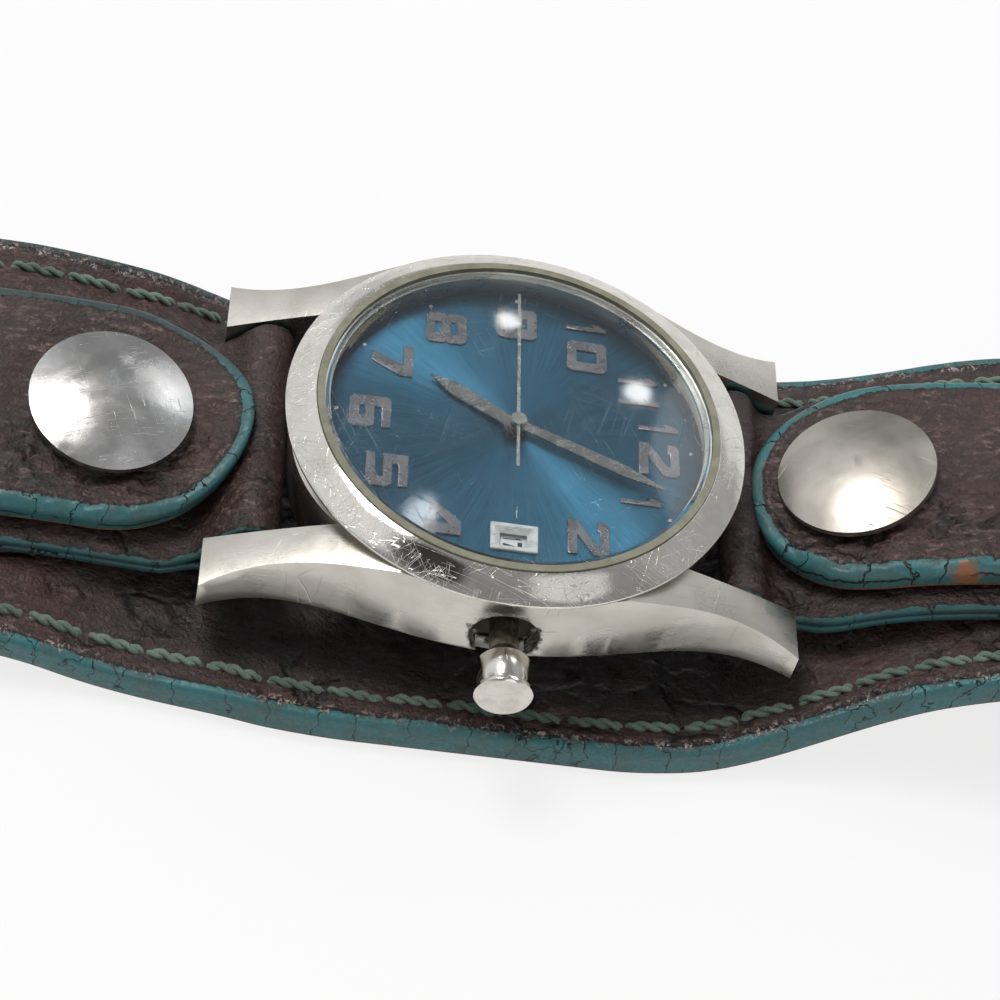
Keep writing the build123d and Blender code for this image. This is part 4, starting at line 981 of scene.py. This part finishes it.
metals = {
    # tone, stain, least and most roughness, size of the stains, depth of the dents
    "caseSteel": ((0.62, 0.585, 0.53), (0.53, 0.495, 0.44), (0.27, 0.36), 7, 0.5),
    "bezelSteel": ((0.68, 0.65, 0.6), (0.6, 0.57, 0.51), (0.05, 0.13), 3, 0.12),
    "capLeftSteel": ((0.52, 0.51, 0.495), (0.4, 0.395, 0.39), (0.18, 0.3), 4.5, 0.6),
    # the right cap is a darker, warmer copy of the same steel: painted shade, as it catches less light
    "capRightSteel": ((0.46, 0.425, 0.38), (0.37, 0.34, 0.3), (0.28, 0.38), 5, 0.5),
    "crownSteel": ((0.66, 0.63, 0.58), (0.54, 0.5, 0.44), (0.1, 0.22), 1.8, 0.5),
    # hands and numerals: darker tones, a painted reflection of the dark surroundings in their polished steel
    "handSteel": ((0.3, 0.29, 0.27), (0.27, 0.26, 0.235), (0.2, 0.3), 1.6, 0.2),
    "sweepSteel": ((0.58, 0.57, 0.52), (0.46, 0.45, 0.4), (0.18, 0.3), 1.3, 0.2),
    "numeralSteel": ((0.27, 0.255, 0.265), (0.21, 0.195, 0.205), (0.24, 0.32), 2.0, 0.1),
    "stemSteel": ((0.42, 0.38, 0.3), (0.16, 0.135, 0.08), (0.25, 0.5), 1.0, 0.5),
    "plainSteel": ((0.58, 0.56, 0.52), (0.47, 0.45, 0.41), (0.24, 0.36), 5, 0.3),
    "dullSteel": ((0.4, 0.385, 0.36), (0.28, 0.26, 0.23), (0.36, 0.5), 3, 0.6),
    "movementSteel": ((0.62, 0.6, 0.53), (0.55, 0.53, 0.46), (0.2, 0.3), 4, 0.1),
    "trainBrass": ((0.72, 0.5, 0.2), (0.58, 0.38, 0.14), (0.2, 0.34), 2, 0.1),
    "coilCopper": ((0.6, 0.26, 0.1), (0.46, 0.17, 0.06), (0.25, 0.4), 1, 0.1),
}
brushed = {
    # width of the strokes, heading, depth
    "caseSteel": (0.16, 0, 0.05), "handSteel": (0.12, 30, 0.03), "plainSteel": (0.2, 15, 0.05),
    "movementSteel": (0.25, 45, 0.05), "trainBrass": (0.12, 80, 0.05), "coilCopper": (0.3, 90, 0.5),
}
scratched = {
    # spacing, heading, width and how rare
    "caseSteel": ((1.6, 8, 0.007, 0.56), (2.4, 70, 0.006, 0.6)),
    "bezelSteel": ((0.5, 35, 0.008, 0.47), (0.45, 80, 0.007, 0.48), (0.5, 125, 0.008, 0.47),
                   (0.4, 160, 0.007, 0.49), (1.2, 5, 0.005, 0.46)),
    "capLeftSteel": ((0.7, 20, 0.008, 0.52), (0.6, 110, 0.007, 0.54)),
    "capRightSteel": ((0.7, 60, 0.008, 0.52), (0.6, 150, 0.007, 0.54)),
    "crownSteel": ((0.4, 10, 0.008, 0.53),),
    "plainSteel": ((1.0, 40, 0.007, 0.54),),
    "dullSteel": ((1.0, 75, 0.008, 0.52),),
}
# how much rougher a scratch is
scratchRough = {"caseSteel": 0.15, "bezelSteel": 0.3, "others": 0.2}
# grime and painted shade round the stem
grimeAndShade = {
    "reach": 2.9, "soft": 0.5, "ragged": 2.4, "front": -15.0, "height": 10.5, "tone": (0.045, 0.034, 0.012),
}


def metalMaterial(name):
    main, stain, (low, high), size, dents = metals[name]
    p = Paint(name)
    rough = p.span(p.cloud(size, 5, 0.62, 0.5), 0.36, 0.64, low, high)
    tone = p.mix(p.span(p.cloud(size * 0.7, 4, 0.55, 0.3), 0.36, 0.72), main, stain)
    height = p.timesPlus(p.cloud(0.25, 3, 0.7), 0.04, p.times(p.cloud(2.6, 2, 0.4), dents))
    if name in brushed:
        width, turn, depth = brushed[name]
        strokes = p.cloud(width, 3, 0.6, source=p.stretch((30, 1, 1), turn))
        rough = p.wobble(rough, strokes, 0.22)
        height = p.timesPlus(strokes, depth, height)
    for marks in scratched.get(name, ()):
        line = p.hairlines(*marks)
        rough = p.timesPlus(line, scratchRough.get(name, scratchRough["others"]), rough)
        height = p.timesPlus(line, -0.16, height)
    if name == "caseSteel":
        # grime packed round the stem, and painted shade in its recess, deepest there
        x, y, z = p.parts(p.place)
        away = p.reach(x, p.calc("SUBTRACT", z, grimeAndShade["height"] * mm))
        away = p.wobble(away, p.cloud(0.9, 5, 0.75), grimeAndShade["ragged"] * mm)
        near = p.fade(away, (grimeAndShade["reach"] - grimeAndShade["soft"]) * mm, grimeAndShade["reach"] * mm)
        near = p.times(near, p.span(y, grimeAndShade["front"] * mm, (grimeAndShade["front"] - 0.6) * mm))
        tone = p.mix(p.times(near, 0.92), tone, grimeAndShade["tone"])
        rough = p.timesPlus(near, 0.4, rough)
        height = p.timesPlus(p.times(near, p.cloud(0.4, 4, 0.7)), 1.6, height)
    return p.set(color=tone, metal=1.0, rough=rough, normal=p.bump(height, 0.1, 0.8))


# dial: blue lacquer over metal brushed out from the middle

dialLook = {
    # rim: tone of the painted shade along the dial's edge
    "deep": (0.015, 0.078, 0.135), "light": (0.028, 0.135, 0.21), "haze": (0.06, 0.16, 0.26),
    "rim": (0.004, 0.012, 0.03), "rough": 0.28, "rays": 0.16, "edge": 14.6, "metal": 0.88, "stretch": 0.88,
}


def dialMaterial(v):
    p = Paint("sunburstDial")
    x, y, _ = p.parts(p.place)
    out = p.reach(x, y)
    # the place as angle and distance, so that the cloud is drawn out into rays
    wheel = p.feed("ShaderNodeCombineXYZ", (p.times(p.calc("ARCTAN2", y, x), 12 * mm), p.times(out, 0.03)))
    rays = p.cloud(v["rays"], 3, 0.7, source=wheel[0])
    tone = p.mix(p.span(rays, 0.3, 0.7), v["deep"], v["light"])
    tone = p.mix(p.span(p.cloud(4, 4, 0.6), 0.4, 0.7, 0.0, 0.25), tone, v["haze"])
    # painted shade: the dial darkens toward its rim, where the bezel and gasket shade it
    tone = p.mix(p.span(out, (v["edge"] - 1.8) * mm, v["edge"] * mm, 0.0, 0.75), tone, v["rim"])
    way = p.add("ShaderNodeTangent", direction_type="RADIAL", axis="Z").outputs[0]
    rough = p.timesPlus(rays, 0.12, v["rough"])
    return p.set(color=tone, metal=v["metal"], rough=rough, stretch=v["stretch"], tangent=way, coat=0.15,
                 coatRough=0.2, normal=p.bump(rays, 0.006, 0.6))


# crystal: mineral glass with wear; lets plain light through so the dial stays lit

glassLook = {
    "color": (0.93, 0.97, 0.98), "rough": 0.05, "worn": 0.16,
    "lines": (
        (1.7, 28, 0.006, 0.55), (1.3, 74, 0.005, 0.56), (1.5, 118, 0.006, 0.55), (1.2, 163, 0.005, 0.56),
    ),
}


def glassMaterial(v):
    p = Paint("crystalGlass")
    marks = 0.0
    for line in v["lines"]:
        marks = p.calc("MAXIMUM", marks, p.hairlines(*line))
    haze = p.span(p.cloud(3.4, 5, 0.7), 0.5, 0.8, 0.0, 0.05)
    rough = p.timesPlus(marks, v["worn"], p.calc("ADD", haze, v["rough"]))
    ripple = p.timesPlus(marks, -0.5, p.times(p.cloud(5, 3, 0.5), 0.25))
    p.set(color=v["color"], rough=rough, ior=1.5, clear=1.0, normal=p.bump(ripple, 0.03, 0.5))
    ray = p.add("ShaderNodeLightPath").outputs
    unseen = p.calc("MAXIMUM", ray["Is Shadow Ray"], ray["Is Diffuse Ray"])
    return p.coverWith(unseen, p.add("ShaderNodeBsdfTransparent").outputs[0])


plastics = {
    # first tone, second tone, size of the patches, roughness, depth of the bump
    "crystalGasket": ((0.27, 0.26, 0.19), (0.2, 0.195, 0.14), 1.6, 0.35, 0.03),
    "sealRubber": ((0.02, 0.02, 0.02), (0.035, 0.034, 0.032), 0.8, 0.6, 0.05),
    "ringPlastic": ((0.72, 0.72, 0.68), (0.62, 0.62, 0.57), 3.0, 0.45, 0.03),
    "framePlastic": ((0.66, 0.68, 0.66), (0.5, 0.52, 0.5), 0.6, 0.4, 0.02),
    "datePaint": ((0.7, 0.73, 0.72), (0.56, 0.6, 0.6), 1.4, 0.5, 0.02),
    "dateInk": ((0.01, 0.01, 0.012), (0.03, 0.03, 0.035), 0.3, 0.5, 0.01),
    "boardGreen": ((0.02, 0.15, 0.06), (0.015, 0.1, 0.04), 0.7, 0.35, 0.03),
}


def plasticMaterial(name):
    first, second, size, rough, depth = plastics[name]
    p = Paint(name)
    patches = p.cloud(size, 4, 0.6)
    speck = p.cloud(size * 0.2, 3, 0.7)
    tone = p.mix(p.span(patches, 0.38, 0.64), first, second)
    tone = p.mix(p.span(speck, 0.62, 0.75, 0.0, 0.3), tone, tuple(c * 0.4 for c in second))
    return p.set(color=tone, rough=p.span(patches, 0.3, 0.7, rough - 0.08, rough + 0.1), specular=0.4,
                 normal=p.bump(speck, depth, 0.6))


steels = {name: metalMaterial(name) for name in metals}
plasticLooks = {name: plasticMaterial(name) for name in plastics}
bySlot = {
    "steel_brushed": "plainSteel", "steel_polished": "plainSteel", "steel_worn": "dullSteel",
    "plate_steel": "movementSteel", "brass": "trainBrass", "copper": "coilCopper", "hand_metal": "handSteel",
    "gasket": "crystalGasket", "black_rubber": "sealRubber", "white_plastic": "ringPlastic",
    "date_paint": "datePaint", "board": "boardGreen",
}
byNode = {
    "case_body": "caseSteel", "case_back": "caseSteel", "case_tube": "stemSteel", "winding_stem": "stemSteel",
    "bezel": "bezelSteel", "snap_cap_left": "capLeftSteel", "snap_cap_right": "capRightSteel",
    "crown": "crownSteel", "second_hand": "sweepSteel",
}
looks = {slot: (steels | plasticLooks)[look] for slot, look in bySlot.items()}
looks |= {
    "dial_blue": dialMaterial(dialLook), "crystal_glass": glassMaterial(glassLook),
    "cuff_leather": baseLeather, "lining_leather": lining,
}
for name, node in nodes.items():
    for slot in node.material_slots:
        given = slot.material.name.split(".")[0]
        slot.material = steels[byNode[name]] if name in byNode else looks[given]
softEdges = {"case_body": 0.22, "bezel": 0.07, "crown": 0.08}
for name, width in softEdges.items():
    weld = nodes[name].modifiers.new("weld", "WELD")
    weld.merge_threshold = 0.002 * mm
    bevel = nodes[name].modifiers.new("softEdge", "BEVEL")
    bevel.width = width * mm
    bevel.segments = 3
    bevel.limit_method = "ANGLE"
    bevel.angle_limit = math.radians(38)
    bevel.harden_normals = False
print("head and movement dressed")

# dial markings: applied block numerals, minute pips, an index line and the date ring's numbers


def cutout(x0, y0, x1, y1):
    return [(x0, y0), (x1, y0), (x1, y1), (x0, y1)]


glyphs = {
    # outlines in a unit box, the first outside and the rest holes
    "0": [[(0, .1), (.1, 0), (.9, 0), (1, .1), (1, .9), (.9, 1), (.1, 1), (0, .9)], cutout(.3, .24, .7, .76)],
    "1": [[(.38, 0), (.68, 0), (.68, 1), (.42, 1), (.12, .8), (.12, .62), (.38, .72)]],
    "2": [[(0, 0), (1, 0), (1, .23), (.42, .23), (1, .62), (1, .9), (.9, 1), (.1, 1), (0, .9), (0, .72),
           (.28, .72), (.28, .78), (.7, .78), (.7, .7), (0, .25)]],
    "3": [[(0, 0), (.9, 0), (1, .1), (1, .44), (.93, .52), (1, .6), (1, .9), (.9, 1), (0, 1), (0, .78),
           (.68, .78), (.68, .62), (.24, .62), (.24, .41), (.68, .41), (.68, .22), (0, .22)]],
    "4": [[(.6, 0), (.9, 0), (.9, .2), (1, .2), (1, .42), (.9, .42), (.9, 1), (.5, 1), (0, .42), (0, .2),
           (.6, .2)], [(.3, .42), (.6, .42), (.6, .76)]],
    "5": [[(0, 0), (.9, 0), (1, .1), (1, .52), (.9, .62), (.3, .62), (.3, .78), (.95, .78), (.95, 1), (0, 1),
           (0, .4), (.7, .4), (.7, .22), (0, .22)]],
    "6": [[(.1, 0), (.9, 0), (1, .1), (1, .5), (.9, .6), (.3, .6), (.3, .78), (.95, .78), (.95, 1), (.1, 1),
           (0, .9), (0, .1)], cutout(.3, .22, .7, .4)],
    "7": [[(.25, 0), (.58, 0), (1, .72), (1, 1), (0, 1), (0, .76), (.66, .76)]],
    "8": [[(.1, 0), (.9, 0), (1, .1), (1, .42), (.93, .5), (1, .58), (1, .9), (.9, 1), (.1, 1), (0, .9),
           (0, .58), (.07, .5), (0, .42), (0, .1)], cutout(.3, .2, .7, .4), cutout(.3, .6, .7, .8)],
}
glyphs["9"] = [[(1 - u, 1 - v) for u, v in outline] for outline in glyphs["6"]]
# widths as a share of the full width
narrow = {"1": 0.41}
numerals = {
    "height": 3.2, "width": 3.2, "gap": 0.88, "ring": 11.27, "thick": 0.18, "bevel": 0.045, "dialZ": 13.66,
    "leftOut": 3,
}
# the line's place is two of its corners
pips = {"ring": 13.85, "radius": 0.17, "thick": 0.1, "bevel": 0.03, "line": (0.125, -8.65, 0.215, -7.55)}
dateRing = {
    "ring": 10.6, "height": 1.45, "width": 0.66, "gap": 0.13, "top": 13.13, "thick": 0.024, "bevel": 0.008,
    "shown": 17,
}


def placedGlyphs(text, v, turn, centre):
    # outlines of a number, upright along the turn, as points in the plane
    wide = [narrow.get(c, 1.0) * v["width"] for c in text]
    start = sum(wide) / 2 + v["gap"] * (len(text) - 1) / 2
    up, across = Vector((math.cos(turn), math.sin(turn))), Vector((math.sin(turn), -math.cos(turn)))
    lines = []
    for c, w in zip(text, wide):
        for outline in glyphs[c]:
            lines.append([centre + up * (y - 0.5) * v["height"] + across * (x * w - start)
                          for x, y in outline])
        start -= w + v["gap"]
    return lines


def raisedMarks(name, lines, z, v, material, body):
    # fills flat outlines, raises and bevels them, and leaves a mesh
    data = bpy.data.curves.new(name, "CURVE")
    data.dimensions = "2D"
    data.fill_mode = "BOTH"
    for line in lines:
        spline = data.splines.new("POLY")
        spline.points.add(len(line) - 1)
        for point, place in zip(spline.points, line):
            point.co = (place[0] * mm, place[1] * mm, 0, 1)
        spline.use_cyclic_u = True
    data.extrude = max(v["thick"] / 2 - v["bevel"], 0) * mm
    data.bevel_depth = v["bevel"] * mm
    data.offset = -v["bevel"] * mm
    curve = bpy.data.objects.new(name, data)
    mesh = bpy.data.meshes.new_from_object(curve)
    mesh.transform(Matrix.Translation((0, 0, (z + v["thick"] / 2) * mm)))
    mesh.materials.clear()
    mesh.materials.append(material)
    bpy.data.objects.remove(curve)
    addPiece(name, mesh, body)


def markDial():
    hourLines, pipLines, dateLines = [], [], []
    for hour in range(1, 13):
        way = headed(-30 * hour)
        if hour != numerals["leftOut"]:
            hourLines += placedGlyphs(str(hour), numerals, 0.0, way * numerals["ring"])
        pipLines.append([way * pips["ring"] + headed(45 * q) * pips["radius"] for q in range(8)])
    pipLines.append(cutout(*pips["line"]))
    for day in range(1, 32):
        angle = (day - dateRing["shown"]) * 360 / 31 - 90
        centre = headed(angle) * dateRing["ring"]
        dateLines += placedGlyphs(str(day), dateRing, math.radians(angle + 90), centre)
    top = numerals["dialZ"]
    raisedMarks("hourNumerals", hourLines, top, numerals, steels["numeralSteel"], "watch")
    raisedMarks("minutePips", pipLines, top, pips, steels["sweepSteel"], "watch")
    raisedMarks("dateNumbers", dateLines, dateRing["top"], dateRing, plasticLooks["dateInk"],
                "date_disc")


markDial()

# date frame: white surround with sloped sides down to a smaller opening

dateFrame = {
    "y": -10.6, "corner": 0.12, "cornerSteps": 4,
    # half length along X, half width along Y, height
    "profile": (
        (1.8, 1.25, 13.67), (1.8, 1.25, 13.82), (1.74, 1.19, 13.87), (1.5, 0.98, 13.87), (1.44, 0.93, 13.84),
        (1.06, 0.6, 13.5), (1.03, 0.57, 13.46), (1.06, 0.6, 13.42), (1.43, 0.88, 13.42), (1.43, 0.88, 13.67),
    ),
}


def addDateFrame(v):
    points, faces = [], []
    steps, r = v["cornerSteps"], v["corner"]
    for halfX, halfY, z in v["profile"]:
        for k, (sx, sy) in enumerate(((1, 1), (-1, 1), (-1, -1), (1, -1))):
            for q in range(steps):
                way = headed(90 * (k + q / (steps - 1))) * r
                x, y = sx * (halfX - r) + way.x, sy * (halfY - r) + way.y
                points.append((x * mm, (y + v["y"]) * mm, z * mm))
    around, rings = 4 * steps, len(v["profile"])
    for i in range(rings):
        a, b = i * around, ((i + 1) % rings) * around
        for j in range(around):
            k = (j + 1) % around
            faces.append((a + j, a + k, b + k, b + j))
    mesh = bpy.data.meshes.new("dateSurround")
    mesh.from_pydata(points, [], faces)
    mesh.materials.append(plasticLooks["framePlastic"])
    addPiece("dateSurround", mesh, "watch", ["date_frame"])


addDateFrame(dateFrame)
print("dial marked")

# floor, daylight room and lamps

floorLook = {"size": 3.0, "color": (0.86, 0.86, 0.86), "seenWhite": 0.8}


def addFloor(v):
    mesh = bpy.data.meshes.new("floor")
    h = v["size"] / 2
    mesh.from_pydata([(-h, -h, 0), (h, -h, 0), (h, h, 0), (-h, h, 0)], [], [(0, 1, 2, 3)])
    floor = addObject("floor", mesh)
    p = Paint("floorPaper")
    p.set(color=v["color"], rough=0.9, specular=0.1)
    glow = p.feed("ShaderNodeEmission", {"Color": (1, 1, 1, 1)})
    mesh.materials.append(p.coverWith(p.times(p.seenRay(), v["seenWhite"]), glow[0]))


roomLook = {
    "tint": (0.95, 0.97, 1, 1),
    "fill": 0.5,
    "daylight": (0, 0.6, 0.8),
    "high": 0.34,
    # windows and darker corners of the ceiling that reflections see: direction, how wide, how bright
    "windows": (
        ((-0.62, 0.55, 0.5), 0.16, 0.95), ((-0.52, 0.1, 0.85), 0.06, 1.0), ((0.36, -0.2, 0.91), 0.022, 0.9),
        ((0.74, 0.3, 0.6), 0.12, 0.5), ((-0.25, -0.19, 0.95), 0.022, 0.05), ((0.05, 0.95, 0.3), 0.1, 0.4),
    ),
}


def addRoom(v):
    world = bpy.data.worlds.new("room")
    bpy.context.scene.world = world
    world.use_nodes = True
    p = Paint("room", world)
    back = p.tree.nodes["Background"]
    back.inputs["Color"].default_value = v["tint"]
    level = p.span(p.parts(p.place)[2], 0.22, 0.5, 1.0, v["high"])
    for way, wide, bright in v["windows"]:
        near = p.against("DOT_PRODUCT", Vector(way).normalized())
        spot = p.span(near, 1 - wide, 1 - wide * 0.4)
        level = p.timesPlus(spot, p.calc("SUBTRACT", bright, level), level)
    # daylight from behind and above; little from the near side, so folds there stay dark
    lean = p.against("DOT_PRODUCT", Vector(v["daylight"]).normalized())
    fill = p.span(lean, -0.2, 0.9, v["fill"] * 0.08, v["fill"] * 1.5)
    strength = p.timesPlus(p.seenRay(), p.calc("SUBTRACT", level, fill), fill)
    p.join(strength, back.inputs["Strength"])


lamps = (
    # name, place, size, watts, colour; every lamp faces the watch
    ("keyLamp", (-0.15, 0.09, 0.42), 0.16, 1.0, (1, 0.98, 0.95)),
    ("backLamp", (0.22, 0.3, 0.34), 0.2, 0.19, (0.95, 0.98, 1)),
    ("frontLamp", (0.10, -0.36, 0.20), 0.22, 0.12, (1, 0.97, 0.93)),
    # small ones for the glints on the crystal
    ("glintLampFar", (0.122, 0.352, 0.358), 0.013, 0.008, (1, 1, 1)),
    ("glintLampNear", (0.059, 0.383, 0.345), 0.011, 0.0055, (1, 1, 1)),
    ("glintLampLow", (0.024, 0.281, 0.423), 0.014, 0.007, (0.9, 0.97, 1)),
)


def addLamps(rows):
    for name, place, size, watts, color in rows:
        data = bpy.data.lights.new(name, "AREA")
        data.shape = "DISK"
        data.size = size
        data.energy = watts
        data.color = color
        lamp = addObject(name, data)
        way = Vector((0, 0, 0.01)) - Vector(place)
        lamp.matrix_world = Matrix.Translation(place) @ way.to_track_quat("-Z", "Y").to_matrix().to_4x4()


addFloor(floorLook)
addRoom(roomLook)
addLamps(lamps)
print("room and lamps set")
